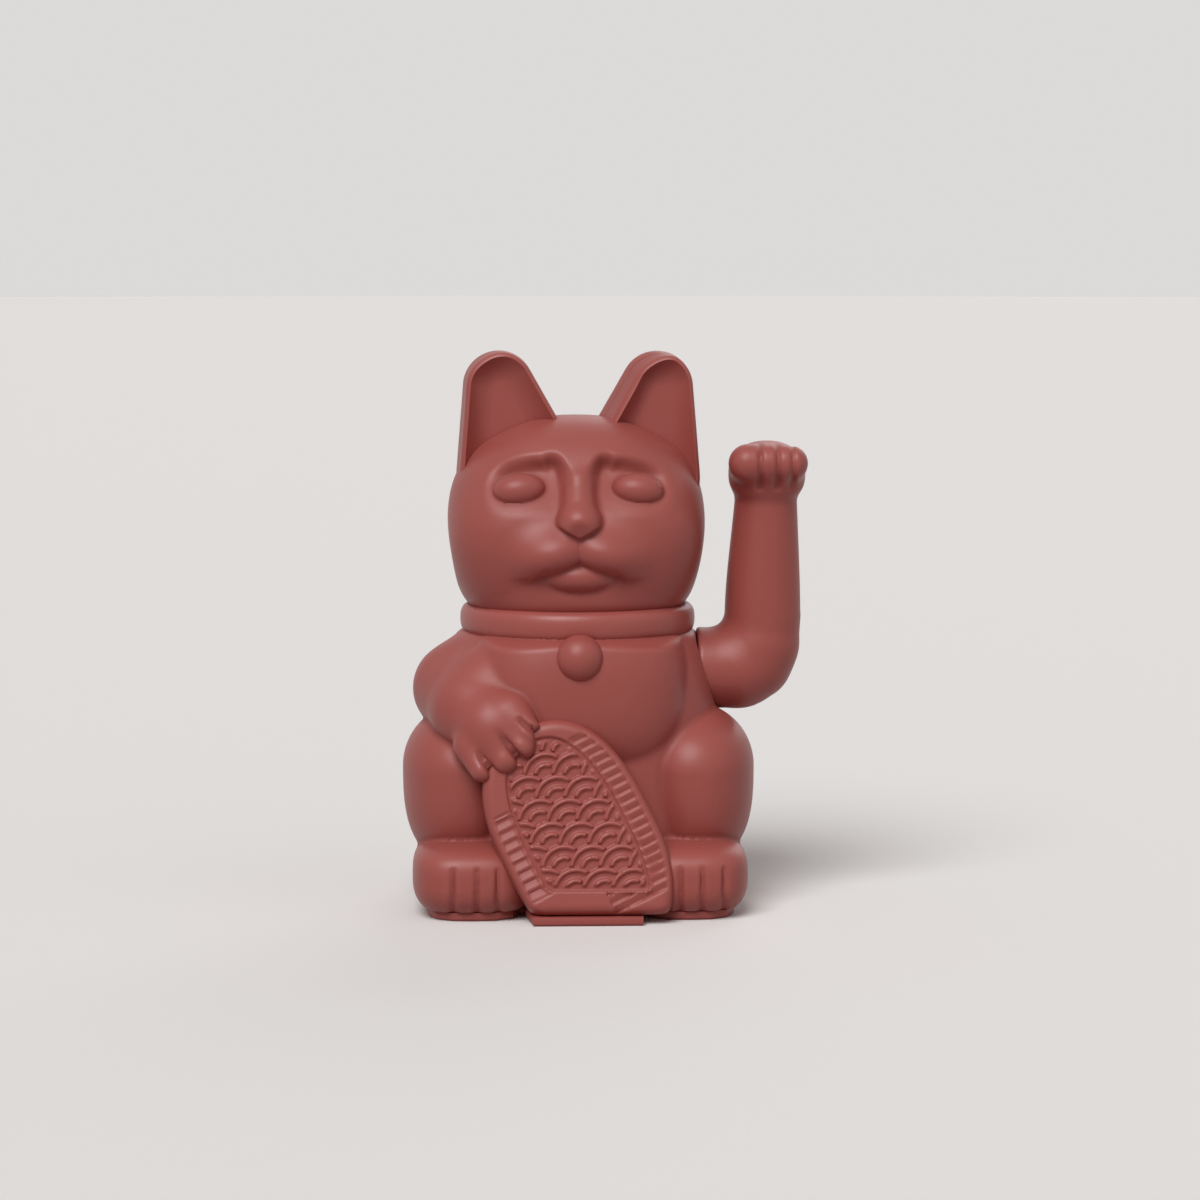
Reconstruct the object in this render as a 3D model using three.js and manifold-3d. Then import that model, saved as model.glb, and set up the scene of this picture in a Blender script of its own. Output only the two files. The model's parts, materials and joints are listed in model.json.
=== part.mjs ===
// Waving lucky cat: a hollow seated figure in two half shells on a base plate, with one
// separate arm that waves on a steel axle, driven by a magnet pendulum over a coil.
// Millimetres, +Z up. The cat faces -Y and the waving arm is on the +X side.
// The origin is on the floor, under the middle of the body.
import * as THREE from 'three';
import { mergeVertices } from 'three/addons/utils/BufferGeometryUtils.js';
import Module from 'manifold-3d';

const wasm = await Module();
wasm.setup();

// Moulding
const wall = 2.2;             // body shells
const armWall = 1.8;          // waving arm shells
const seat = 0.3;             // gap where pieces rest on each other
const bore = 0.15;            // gap around a fastened pin
const runningGap = 0.1;       // gap around a turning pin
const seam = 0.3;             // gap between half shells

// Figure: half sizes of the main forms and where they stand
const neckHeight = 77.3;
const torso = { x: 0, y: 5, z: 30, halfWidth: 38.8, halfDepth: 34, plan: 2.8, rise: neckHeight - 21.3,
  riseRound: 3.2, drop: 60, dropRound: 4 };
const belly = { x: 0.3, y: -6.6, z: 60, halfWidth: 29.5, halfDepth: 27, plan: 3, rise: 31, riseRound: 2.2,
  drop: 28.8, dropRound: 2.4 };
const thigh = { x: 31.2, y: -7, z: 38, halfWidth: 16.4, halfDepth: 23, plan: 2.1, rise: 16.6, riseRound: 2,
  drop: 26, dropRound: 2.8 };
const foot = { x: 28.6, y: -19.5, z: 10, halfWidth: 16.4, halfDepth: 20, plan: 3, rise: 10.2, riseRound: 3.6,
  drop: 11.2, dropRound: 2.5 };
const toeLines = [-34.2, -27.9, -22.4, 26.1, 31.8, 37.6];
const collar = { radiusX: 28.9, radiusY: 27, thick: 3, halfHeight: 5, lift: -0.7 };
const bellRadius = 6.4;
const head = { y: 1, lift: 23.2, halfWidth: 33.7, halfDepth: 28, rise: 32, drop: 25.5 };
const muzzle = { x: 6.6, y: -23.6, z: -3.6, halfWidth: 10.2, halfDepth: 9.8, halfHeight: 6.6, turn: 15 };
const headZ = neckHeight + head.lift;
const ear = { x: 21.4, z: 39.8, tip: 9.7, footX: 16, footZ: 15.5, footRadius: 17, front: -8, rim: 1.7 };
const eye = { x: 15.4, y: -21, z: 13.3, halfWidth: 6.9, halfDepth: 4.2, halfHeight: 4.2 };
const tailRadius = 5;

// Coin held against the belly
const coin = { x: -2.3, y: -37.2, z: 22.4, halfWidth: 20.8, halfLength: 32.6, front: 3, back: 13 };
const coinLean = 26.7;        // degrees, top towards -X
const coinTilt = 9;           // degrees, top towards the body
const coinBevel = 2.2;
const coinField = { halfWidth: 13.7, halfLength: 28.6, depth: 0.8 };
const notch = { width: 1, depth: 0.7, length: 4.4, pitch: 3 };

// Waving arm, measured from its pivot
const pivotHeight = 63.5;
const armRootX = 32.5;        // inner face of the arm
const armRootRadius = 11.1;
const armBend = 13.9;         // radius of the elbow's centre line
const armReach = 51;          // upright part of the arm
const pawHeight = 55.4;       // above the pivot
const socketGap = 0.7;

// Base
const plateThickness = 2.3;
const plateInset = 1;
const plateChamfer = 0.6;
const spigot = { height: 3.4, thickness: 1.5 };
const shellBottom = plateThickness + seat;
const screw = { head: 2.8, headHeight: 1.3, shank: 1.3, boss: 3.6, bossHeight: 13, length: 11 };

// Battery bay, cell lying along X
const cell = { radius: 7.25, length: 50.5, y: 17.6, nub: 2.7, nubHeight: 1.1 };
const contact = { thickness: 0.5, springLength: 3.4, width: 8 };
const bayWall = 1.6;
const bayRoof = 1.2;
const door = { thickness: 1.6, overlap: 0.6 };

// Movement
const axleRadius = 1.5;
const bush = { radius: 2.6, flange: 4, lip: 0.8 };
const frame = { x: 17.75, gap: 14.5, thickness: 2, halfDepth: 7, web: 2 };
const boardHeight = 6;
const boardThickness = 1.6;
const board = { left: -10, right: 26, front: -22, screwInset: 4 };
const coil = { flange: 7, core: 3, winding: 6.4, height: 11.4, flangeThickness: 1 };
const magnet = { radius: 5, thickness: 4 };
const airGap = 1.6;
const weight = { width: 10, depth: 20, height: 13, offsetY: 1.6 };

const plastic = (color, roughness = 0.5) => new THREE.MeshStandardMaterial({ color, roughness, metalness: 0 });
const metal = (color, roughness = 0.35) => new THREE.MeshStandardMaterial({ color, roughness, metalness: 1 });
const rose = plastic(0xa65c58, 0.45);
const nylon = plastic(0xd9d5c8, 0.5);
const black = plastic(0x26272a, 0.5);
const steel = metal(0xb9bcc0);
const copper = metal(0xb5683c);
const green = plastic(0x2f6b45, 0.4);

const radians = THREE.MathUtils.degToRad;
const lucky = new THREE.Group();

// Joining and cutting of closed solids

function solid(geometry) {
  const bare = geometry.index ? geometry.toNonIndexed() : geometry.clone();
  bare.deleteAttribute('normal');
  bare.deleteAttribute('uv');
  const merged = mergeVertices(bare, 1e-4);
  const mesh = new wasm.Mesh({
    numProp: 3,
    vertProperties: new Float32Array(merged.attributes.position.array),
    triVerts: new Uint32Array(merged.index.array),
  });
  mesh.merge();
  return new wasm.Manifold(mesh);
}

function geometryOf(body) {
  const mesh = body.asOriginal().simplify(0.03).getMesh();
  const geometry = new THREE.BufferGeometry();
  geometry.setAttribute('position', new THREE.BufferAttribute(new Float32Array(mesh.vertProperties), 3));
  geometry.setIndex(new THREE.BufferAttribute(new Uint32Array(mesh.triVerts), 1));
  geometry.computeVertexNormals();
  return geometry;
}

function addPiece(name, body, material) {
  const piece = new THREE.Mesh(geometryOf(body), material);
  piece.name = name;
  lucky.add(piece);
}

const unite = (...bodies) => bodies.reduce((sum, body) => sum.add(body));
const without = (body, ...cutters) => cutters.reduce((rest, cutter) => rest.subtract(cutter), body);

// Simple solids, placed where they stand

function block(x0, x1, y0, y1, z0, z1) {
  const box = new THREE.BoxGeometry(x1 - x0, y1 - y0, z1 - z0);
  return solid(box.translate((x0 + x1) / 2, (y0 + y1) / 2, (z0 + z1) / 2));
}

// And on the front view, points [x, z], from y0 to y1
function frontPlate(points, y0, y1) {
  const shape = new THREE.Shape(points.map(([x, z]) => new THREE.Vector2(x, z)));
  const slab = new THREE.ExtrudeGeometry(shape, { depth: y1 - y0, bevelEnabled: false });
  return solid(slab.rotateX(Math.PI / 2).translate(0, y1, 0));
}

function uprightRod(radius, x, y, z0, z1, sides = 24) {
  const rod = new THREE.CylinderGeometry(radius, radius, z1 - z0, sides);
  return solid(rod.rotateX(Math.PI / 2).translate(x, y, (z0 + z1) / 2));
}

function crossRod(radius, x0, x1, y, z, sides = 24) {
  const rod = new THREE.CylinderGeometry(radius, radius, x1 - x0, sides);
  return solid(rod.rotateZ(Math.PI / 2).translate((x0 + x1) / 2, y, z));
}

// A drawn outline made into a plate: its points are [x, y] and it stands from z0 to z1
function plate(points, z0, z1) {
  const shape = new THREE.Shape(points.map(([x, y]) => new THREE.Vector2(x, y)));
  const slab = new THREE.ExtrudeGeometry(shape, { depth: z1 - z0, bevelEnabled: false });
  return solid(slab.translate(0, 0, z0));
}

// The same with the outline drawn on the side view, points [y, z], from x0 to x1
function sidePlate(points, x0, x1) {
  const turn = new THREE.Matrix4().makeBasis(
    new THREE.Vector3(0, 1, 0), new THREE.Vector3(0, 0, 1), new THREE.Vector3(1, 0, 0));
  const shape = new THREE.Shape(points.map(([y, z]) => new THREE.Vector2(y, z)));
  const slab = new THREE.ExtrudeGeometry(shape, { depth: x1 - x0, bevelEnabled: false });
  return solid(slab.applyMatrix4(turn).translate(x0, 0, 0));
}

function capsule(from, to, radius, rings = 3, sides = 8) {
  const a = new THREE.Vector3(...from);
  const b = new THREE.Vector3(...to);
  const rod = new THREE.CapsuleGeometry(radius, a.distanceTo(b), rings, sides);
  const direction = b.clone().sub(a).normalize();
  const turn = new THREE.Quaternion().setFromUnitVectors(new THREE.Vector3(0, 1, 0), direction);
  const middle = a.add(b).multiplyScalar(0.5);
  return solid(rod.applyQuaternion(turn).translate(middle.x, middle.y, middle.z));
}

// Round limb through [place, radius] pairs, with round ends
function limb(stations, sides = 18) {
  const places = stations.map(([place]) => new THREE.Vector3(...place));
  const curve = new THREE.CatmullRomCurve3(places);
  const steps = 2 * (stations.length - 1);
  const radiusAt = (t) => {
    const at = Math.min(t * (stations.length - 1), stations.length - 1 - 1e-6);
    const [a, b] = [stations[Math.floor(at)][1], stations[Math.floor(at) + 1][1]];
    return a + (b - a) * (at % 1);
  };
  const side = curve.getPoint(1).sub(curve.getPoint(0)).cross(new THREE.Vector3(0, 0, 1)).normalize();
  const ring = (t, beyond, radius) => {
    const along = curve.getTangent(t);
    const centre = curve.getPoint(t).addScaledVector(along, beyond);
    return Array.from({ length: sides }, (_, i) => {
      const spoke = side.clone().applyAxisAngle(along, 2 * Math.PI * i / sides);
      return spoke.multiplyScalar(radius).add(centre);
    });
  };
  const rings = [];
  for (const turn of [70, 36]) {
    const [cos, sin] = [Math.cos(radians(turn)), Math.sin(radians(turn))];
    rings.push(ring(0, -radiusAt(0) * sin, radiusAt(0) * cos));
  }
  for (let i = 0; i <= steps; i += 1) rings.push(ring(i / steps, 0, radiusAt(i / steps)));
  for (const turn of [36, 70]) {
    const [cos, sin] = [Math.cos(radians(turn)), Math.sin(radians(turn))];
    rings.push(ring(1, radiusAt(1) * sin, radiusAt(1) * cos));
  }
  return loft(rings);
}

function ellipsoidSolid([x, y, z], [a, b, c], turn = 0, sides = 16, rings = 10) {
  const ball = new THREE.SphereGeometry(1, sides, rings);
  return solid(ball.scale(a, b, c).rotateY(radians(turn)).translate(x, y, z));
}

const shrunk = ({ halfWidth, halfDepth, halfHeight }, inset) =>
  [halfWidth - inset, halfDepth - inset, halfHeight - inset];

// Closed skin over rings of points, each ring with the same number of points, anticlockwise
// when seen from where the rings lead to
function loft(rings) {
  const count = rings[0].length;
  const middle = (ring) => ring.reduce((sum, p) => sum.add(p), new THREE.Vector3()).divideScalar(count);
  const points = [...rings.flat(), middle(rings[0]), middle(rings.at(-1))];
  const first = rings.length * count;
  const faces = [];
  for (let i = 0; i < count; i += 1) {
    const next = (i + 1) % count;
    for (let row = 0; row < rings.length - 1; row += 1) {
      const [a, b] = [row * count + i, row * count + next];
      faces.push(a, b, b + count, a, b + count, a + count);
    }
    const top = (rings.length - 1) * count;
    faces.push(first, next, i, first + 1, top + i, top + next);
  }
  const skin = new THREE.BufferGeometry().setFromPoints(points);
  skin.setIndex(faces);
  return solid(skin);
}

// Fields of the round forms: a distance in millimetres, negative inside

const blend = (a, b, k) => Math.min(a, b) - Math.max(k - Math.abs(a - b), 0) ** 2 / (4 * k);

function fade(t) {
  const s = Math.min(Math.max(t, 0), 1);
  return s * s * (3 - 2 * s);
}

function ellipsoid(u, v, w, a, b, c) {
  const k = Math.sqrt((u / a) ** 2 + (v / b) ** 2 + (w / c) ** 2);
  const slope = Math.sqrt((u / a / a) ** 2 + (v / b / b) ** 2 + (w / c / c) ** 2);
  return k * (k - 1) / Math.max(slope, 1e-6);
}

// Rounded box-like bulb: squareness in plan, and its own height and roundness above and below
function bulb(u, v, w, a, b, plan, rise, riseRound, drop, dropRound) {
  const flat = ((Math.abs(u) / a) ** plan + (Math.abs(v) / b) ** plan + 1e-12) ** (1 / plan);
  const [height, round] = w > 0 ? [rise, riseRound] : [drop, dropRound];
  const k = (flat ** round + (Math.abs(w) / height + 1e-9) ** round) ** (1 / round);
  return 0.92 * (k - 1) * Math.sqrt(u * u + v * v + w * w) / Math.max(k, 1e-6);
}

// Oval outline on the front view, turned by some degrees
function oval(u, w, a, c, degrees) {
  const [cos, sin] = [Math.cos(radians(degrees)), Math.sin(radians(degrees))];
  const [p, q] = [u * cos - w * sin, u * sin + w * cos];
  const k = ((Math.abs(p) / a) ** 2.4 + (Math.abs(q) / c) ** 2.4 + 1e-9) ** (1 / 2.4);
  return (k - 1) * Math.sqrt(p * p + q * q) / k;
}

function rod(x, y, z, [ax, ay, az], [bx, by, bz], ra, rb) {
  const [dx, dy, dz] = [bx - ax, by - ay, bz - az];
  const [px, py, pz] = [x - ax, y - ay, z - az];
  const t = Math.min(Math.max((px * dx + py * dy + pz * dz) / (dx * dx + dy * dy + dz * dz), 0), 1);
  return Math.sqrt((px - t * dx) ** 2 + (py - t * dy) ** 2 + (pz - t * dz) ** 2) - ra - (rb - ra) * t;
}

// Head, from its centre: cheeks, eye sockets beside a nose bridge and a soft muzzle
function headField(x, y, z) {
  const side = Math.abs(x);
  let d = bulb(x, y, z, head.halfWidth, head.halfDepth, 2.5, head.rise, 2.35, head.drop, 3.4);
  d = blend(d, ellipsoid(side - 17.5, y + 13, z - 0.5, 14, 13.5, 13), 9);
  if (y < 0) {
    const socket = blend(oval(side - 13, z - 14.4, 11, 6.3, 9), oval(side - 6.9, z - 15.4, 3.4, 6.4, 0), 2);
    d += (2.9 + 0.16 * (z - 15) - 0.1 * (side - 12)) * fade(0.3 - socket / 4);
  }
  d = blend(d, rod(x, y, z, [0, -15.6, 26.5], [0, -22.9, 14.5], 3.6, 3.9), 2.2);
  d = blend(d, rod(x, y, z, [0, -22.9, 14.5], [0, -27.6, 7.5], 3.9, 4.7), 2.2);
  const [cos, sin] = [Math.cos(radians(muzzle.turn)), Math.sin(radians(muzzle.turn))];
  const [u, w] = [side - muzzle.x, z - muzzle.z];
  const lobe = ellipsoid(u * cos - w * sin, y - muzzle.y, u * sin + w * cos,
    muzzle.halfWidth - 0.5, muzzle.halfDepth - 0.7, muzzle.halfHeight - 0.3);
  return blend(d, lobe, 7);
}

// The arm that holds the coin: places and radii of its round sections from the shoulder to the paw
const coinArm = [[[-32.3, -5, 59], 12.6], [[-26, -17, 52.2], 12.3], [[-21.8, -28.6, 47.8], 10.8]];

// Coin axes: across, along and out of its face
const lean = radians(coinLean);
const tilt = radians(coinTilt);
const coinMatrix = new THREE.Matrix4().makeTranslation(coin.x, coin.y, coin.z)
  .multiply(new THREE.Matrix4().makeRotationX(-tilt))
  .multiply(new THREE.Matrix4().makeBasis(
    new THREE.Vector3(Math.cos(lean), 0, Math.sin(lean)),
    new THREE.Vector3(-Math.sin(lean), 0, Math.cos(lean)),
    new THREE.Vector3(0, -1, 0)));
// How far the form reaches from an axis: the outermost point at some depth under the surface,
// found by coming in along a ray. Directions are [x, y, z] and the axis point is the ray's start
function reach(field, [px, py, pz], [dx, dy, dz], depth, far) {
  const at = (r) => field(px + r * dx, py + r * dy, pz + r * dz) + depth;
  let [inner, outer] = [far, far];
  let d = at(inner);
  while (d > 0 && inner > 0) {
    outer = inner;
    inner -= Math.max(0.5 * d, 0.1);
    d = at(inner);
  }
  for (let i = 0; i < 14; i += 1) {
    const mid = (inner + outer) / 2;
    if (at(mid) > 0) outer = mid;
    else inner = mid;
  }
  return Math.max(inner, 0.4);
}

// Level section of the head as a ring of points. Columns are closer together at the face
function headRing(z, depth, columns) {
  const ring = [];
  for (let i = 0; i < columns; i += 1) {
    const t = 2 * Math.PI * i / columns;
    const angle = t - 0.35 * Math.sin(t);
    const [dx, dy] = [Math.sin(angle), -Math.cos(angle)];
    const r = reach(headField, [0, 0, z], [dx, dy, 0], depth, 45);
    ring.push(new THREE.Vector3(r * dx, head.y + r * dy, headZ + z));
  }
  return ring;
}

// Level ring of a bulb, drawn in by an inset
function bulbRing(form, z, inset, columns) {
  const w = z - form.z;
  const [height, round] = w > 0 ? [form.rise, form.riseRound] : [form.drop, form.dropRound];
  const share = (1 - (Math.abs(w) / (height - inset)) ** round) ** (1 / round);
  return Array.from({ length: columns }, (_, i) => {
    const angle = 2 * Math.PI * i / columns;
    const [dx, dy] = [Math.sin(angle), -Math.cos(angle)];
    const [a, b] = [Math.abs(dx) / (form.halfWidth - inset), Math.abs(dy) / (form.halfDepth - inset)];
    const r = share / (a ** form.plan + b ** form.plan) ** (1 / form.plan);
    return new THREE.Vector3(form.x + r * dx, form.y + r * dy, z);
  });
}

function bulbSolid(form, inset, columns, rows) {
  const rings = [];
  for (let i = -rows; i <= rows; i += 1) {
    const height = (i < 0 ? form.drop : form.rise) - inset;
    const z = form.z + height * Math.sin(Math.PI / 2 * 0.95 * i / rows);
    if (z > -15) rings.push(bulbRing(form, z, inset, columns));
  }
  return loft(rings);
}

const mirrored = (form) => ({ ...form, x: -form.x });

// Heights from bands of [start, step]; each band runs to the next one's start
function levels(bands, end) {
  const heights = [];
  bands.forEach(([start, step], i) => {
    const stop = i + 1 < bands.length ? bands[i + 1][0] : end;
    const count = Math.max(1, Math.round((stop - start) / step));
    for (let n = 0; n < count; n += 1) heights.push(start + (stop - start) * n / count);
  });
  return [...heights, end];
}

const raised = (ring, z) => ring.map((p) => new THREE.Vector3(p.x, p.y, z));

// Ear: rings of its outline, drawn in step by step over a round back and into a dished front
function earOutline(inset, depth) {
  const run = Math.hypot(ear.x - ear.footX, ear.z - ear.footZ);
  const heading = Math.atan2(ear.z - ear.footZ, ear.x - ear.footX);
  const spread = Math.acos((ear.footRadius - ear.tip) / run);
  const [tip, footR] = [ear.tip - inset, ear.footRadius - inset];
  const ring = [];
  const arc = (cx, cz, radius, from, to, count) => {
    for (let i = 0; i <= count; i += 1) {
      const angle = from + (to - from) * i / count;
      const [x, z] = [cx + radius * Math.cos(angle), cz + radius * Math.sin(angle)];
      const thin = 1 - 0.3 * Math.min(Math.max((z - 24) / 26, 0), 1);
      ring.push(new THREE.Vector3(x, -1.2 + (depth + 1.2) * thin, z));
    }
  };
  arc(ear.x, ear.z, tip, heading + spread, heading - spread, 9);
  arc(ear.footX, ear.footZ, footR, heading - spread, heading + spread - 2 * Math.PI, 5);
  return ring;
}

function earSolid(side) {
  const steps = [[5, 6.2], [1.4, 4.4], [0, 1], [0, ear.front + 1.2], [0.9, ear.front],
    [ear.rim, ear.front + 0.5], [ear.rim + 1.6, ear.front + 3], [ear.rim + 5, ear.front + 4.3]];
  const place = (p) => new THREE.Vector3(side * p.x, p.y + head.y, p.z + headZ);
  const rings = steps.map(([inset, depth]) => earOutline(inset, depth).map(place));
  return loft(side < 0 ? rings : rings.map((ring) => ring.reverse()));
}

// Coin: a bevelled oval plate with a sunk middle and notches along both long rims
function ovalShape(a, b, points) {
  const at = (i) => 2 * Math.PI * i / points;
  const power = (t) => Math.sign(t) * Math.abs(t) ** (2 / 2.5);
  return new THREE.Shape(Array.from({ length: points },
    (_, i) => new THREE.Vector2(a * power(Math.cos(at(i))), b * power(Math.sin(at(i))))));
}

function coinSolid() {
  const size = { depth: coin.front + coin.back - coinBevel, bevelThickness: coinBevel,
    bevelSize: coinBevel, bevelOffset: -coinBevel, bevelSegments: 1 };
  const outline = ovalShape(coin.halfWidth, coin.halfLength, 34);
  const blank = new THREE.ExtrudeGeometry(outline, size).translate(0, 0, -coin.back);
  const middle = new THREE.ExtrudeGeometry(ovalShape(coinField.halfWidth, coinField.halfLength, 24),
    { depth: 2, bevelEnabled: false }).translate(0, 0, coin.front - coinField.depth);
  const cuts = [solid(middle.applyMatrix4(coinMatrix))];
  const rimMiddle = (coin.halfWidth + coinField.halfWidth) / 2;
  const rows = Math.floor(coin.halfLength / notch.pitch);
  for (const side of [-1, 1]) {
    for (let i = 1 - rows / 2; i < rows / 2 + 3; i += 1) {
      const v = i * notch.pitch * side;
      const u = side * (rimMiddle * (1 - (Math.abs(v) / coin.halfLength) ** 2.5) ** 0.4 + 0.8);
      const cut = new THREE.BoxGeometry(notch.length, notch.width, notch.depth * 2);
      cut.rotateZ(0.35 * v / coin.halfLength * side);
      cuts.push(solid(cut.translate(u, v, coin.front).applyMatrix4(coinMatrix)));
    }
  }
  return without(solid(blank.applyMatrix4(coinMatrix)), ...cuts);
}

// Collar: a rounded band around the neck
function collarSolid() {
  const profile = [];
  for (let i = 0; i <= 8; i += 1) {
    const angle = 2 * Math.PI * (i % 8) / 8;
    profile.push(new THREE.Vector2(collar.radiusX + collar.thick * Math.cos(angle),
      collar.halfHeight * Math.sin(angle)));
  }
  const band = new THREE.LatheGeometry(profile, 32).rotateX(Math.PI / 2);
  return solid(band.scale(1, collar.radiusY / collar.radiusX, 1).translate(0, 0, neckHeight + collar.lift));
}

// Head: the lofted skin with a crisp nose, muzzle, mouth and eyes, and the ears
function headSolid() {
  const heights = levels([[-22.6, 3.5], [-12, 2.4], [24, 2.5], [29, 1.3]], 31.6);
  const skin = loft(heights.map((z) => headRing(z, 0, 38)));
  const at = (x, y, z) => [x, y + head.y, z + headZ];
  const mouth = ellipsoidSolid(at(0, -33, -10.3), [12.4, 7, 5.8]);
  const lobeSize = [muzzle.halfWidth, muzzle.halfDepth, muzzle.halfHeight];
  const lobes = [-1, 1].map((side) =>
    ellipsoidSolid(at(side * muzzle.x, muzzle.y, muzzle.z), lobeSize, side * muzzle.turn));
  const lip = ellipsoidSolid(at(0, -24.6, -10.2), [10, 7, 4.8]);
  const noseOutline = [[0, 1.4], [7, 6.7], [7, 14], [-7, 14], [-7, 6.7]];
  const nose = ellipsoidSolid(at(0, -29, 6.7), [5.9, 4.8, 5.6])
    .intersect(frontPlate(noseOutline.map(([x, z]) => [x, z + headZ]), -50, 0));
  const eyes = [-1, 1].map((side) =>
    ellipsoidSolid(at(side * eye.x, eye.y, eye.z), shrunk(eye, 0), side * 4));
  const furrow = capsule(at(0, -34.6, 2.5), at(0, -34.4, -5.9), 0.8);
  return without(unite(without(skin, mouth), ...lobes, lip, nose, ...eyes, earSolid(1), earSolid(-1)), furrow);
}

// Toe lines: short grooves over the front of the foot, following its surface
function toeGroove(x) {
  const side = Math.sign(x) * foot.x;
  const offset = Math.abs((x - side) / foot.halfWidth) ** foot.plan;
  const at = (z) => {
    const w = z - foot.z;
    const [height, round] = w > 0 ? [foot.rise, foot.riseRound] : [foot.drop, foot.dropRound];
    const share = (1 - (Math.abs(w) / height) ** round) ** (foot.plan / round);
    return [x, foot.y - foot.halfDepth * (share - offset) ** (1 / foot.plan), z];
  };
  return capsule(at(foot.z + 6), at(foot.z - 4), 1.1, 2, 6);
}

const back = torso.y + torso.halfDepth;
const pair = (form, make) => [make(form), make(mirrored(form))];
const floorCut = () => block(-70, 70, -70, 70, -30, shellBottom);

// Body, whole: overlapping bulbs, with the head, the coin and the arm that holds it
function bodyOutside() {
  const forms = [
    ...pair(thigh, (form) => bulbSolid(form, 0, 22, 6)),
    ...pair(foot, (form) => bulbSolid(form, 0, 24, 5)),
    collarSolid(), headSolid(), coinSolid(), limb(coinArm),
    limb([[[6, back - 1, 15], tailRadius], [[2, back + 1, 21], tailRadius], [[-3, back, 27], tailRadius - 1]], 10),
    ellipsoidSolid([0.4, -30.8, neckHeight - 7.9], [bellRadius, bellRadius - 0.6, bellRadius]),
  ];
  const fingertips = [[-27.3, 41.6, 2.9], [-21.9, 44, 3.8], [-16.4, 48, 3.5], [-13.4, 52.6, 2.6]];
  for (const [x, z, radius] of fingertips) {
    forms.push(capsule([x, -36, z], [x - 3.7, -32.6, z + 5.2], radius));
  }
  // Above the collar's middle only the neck goes on up to the head, inside the band
  const trunk = unite(bulbSolid(torso, 0, 32, 7),
    bulbSolid(belly, 0, 30, 7))
    .subtract(block(-70, 70, -70, 70, neckHeight + 2, 150));
  const neck = uprightRod(collar.radiusX, 0, 0, neckHeight, neckHeight + collar.halfHeight - 1, 32)
    .scale([1, collar.radiusY / collar.radiusX, 1]);
  return without(unite(trunk, neck, ...forms), ...toeLines.map(toeGroove), floorCut());
}

// The hollow: each form again, smaller by the wall
function bodyInside() {
  const coinHollow = new THREE.ExtrudeGeometry(ovalShape(coin.halfWidth - wall, coin.halfLength - wall, 20),
    { depth: coin.back + coin.front - coinField.depth - wall + 3, bevelEnabled: false });
  const headLevels = levels([[-21, 5], [20, 4.5]], 29);
  return unite(
    bulbSolid(torso, wall, 20, 4),
    ...pair(thigh, (form) => bulbSolid(form, wall, 12, 3)),
    ...pair(foot, (form) => bulbSolid(form, wall, 12, 3)),
    block(-foot.x, foot.x, foot.y - 5, 0, -5, foot.z),
    limb(coinArm.map(([place, radius]) => [place, radius - wall]), 10),
    loft(headLevels.map((z) => headRing(z, wall, 16))),
    uprightRod(collar.radiusY - wall - 4, 0, 1, neckHeight - 8, neckHeight + 8, 24),
    solid(coinHollow.translate(0, 0, -coin.back - 3).applyMatrix4(coinMatrix)),
  );
}

// Screw bosses: inside the feet and at the back, each with a rib out to the wall
const backScrewX = 12;
const screwPlaces = [
  [-foot.x - 3, foot.y], [foot.x + 3, foot.y],
  [-backScrewX, back - plateInset - screw.head - 1.6], [backScrewX, back - plateInset - screw.head - 1.6],
];

function bossWithRib([x, y], spare, top) {
  const [length, half] = [16, 0.8 + spare];
  const rib = new THREE.BoxGeometry(length, 2 * half, top - shellBottom + spare);
  const heading = Math.abs(x) > backScrewX ? (x > 0 ? 0 : Math.PI) : Math.PI / 2;
  rib.translate(length / 2, 0, (top + shellBottom) / 2).rotateZ(heading).translate(x, y, 0);
  return unite(uprightRod(screw.boss + spare, x, y, shellBottom - spare, top + spare, 16), solid(rib));
}

// Inner faces of the pivot frame's uprights, and how far its outer bush stands out
const uprightX = [frame.x - frame.gap / 2 - frame.thickness, frame.x + frame.gap / 2];
const bushEnd = uprightX[1] + frame.thickness + bore + bush.lip;

const socketFloor = armRootX - 2 * seat;
const socketRadius = armRootRadius + socketGap;
const halves = (body, gap) => [
  body.subtract(block(-90, 90, -gap / 2, 90, -10, 180)),
  body.subtract(block(-90, 90, -90, gap / 2, -10, 180)),
];

function addShells() {
  const outside = bodyOutside();
  const socketWall = crossRod(socketRadius + wall, socketFloor - wall, 60, 0, pivotHeight, 32);
  const bosses = screwPlaces.map((place) => bossWithRib(place, 0, screw.bossHeight));
  const inserts = unite(socketWall, ...bosses).intersect(outside);
  const screwHoles = screwPlaces.map(([x, y]) =>
    uprightRod(screw.shank + seat, x, y, 0, screw.length + 0.8, 10));
  const shell = without(unite(without(outside, bodyInside()), inserts),
    crossRod(socketRadius, socketFloor, 60, 0, pivotHeight, 32),
    crossRod(axleRadius + 1, uprightX[1], armRootX + wall, 0, pivotHeight, 16),
    crossRod(bush.flange + seat, uprightX[1], bushEnd + seat, 0, pivotHeight, 20), ...screwHoles);
  const [front, rear] = halves(shell, seam);
  addPiece('front_shell', front, rose);
  addPiece('rear_shell', rear, rose);
}

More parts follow.
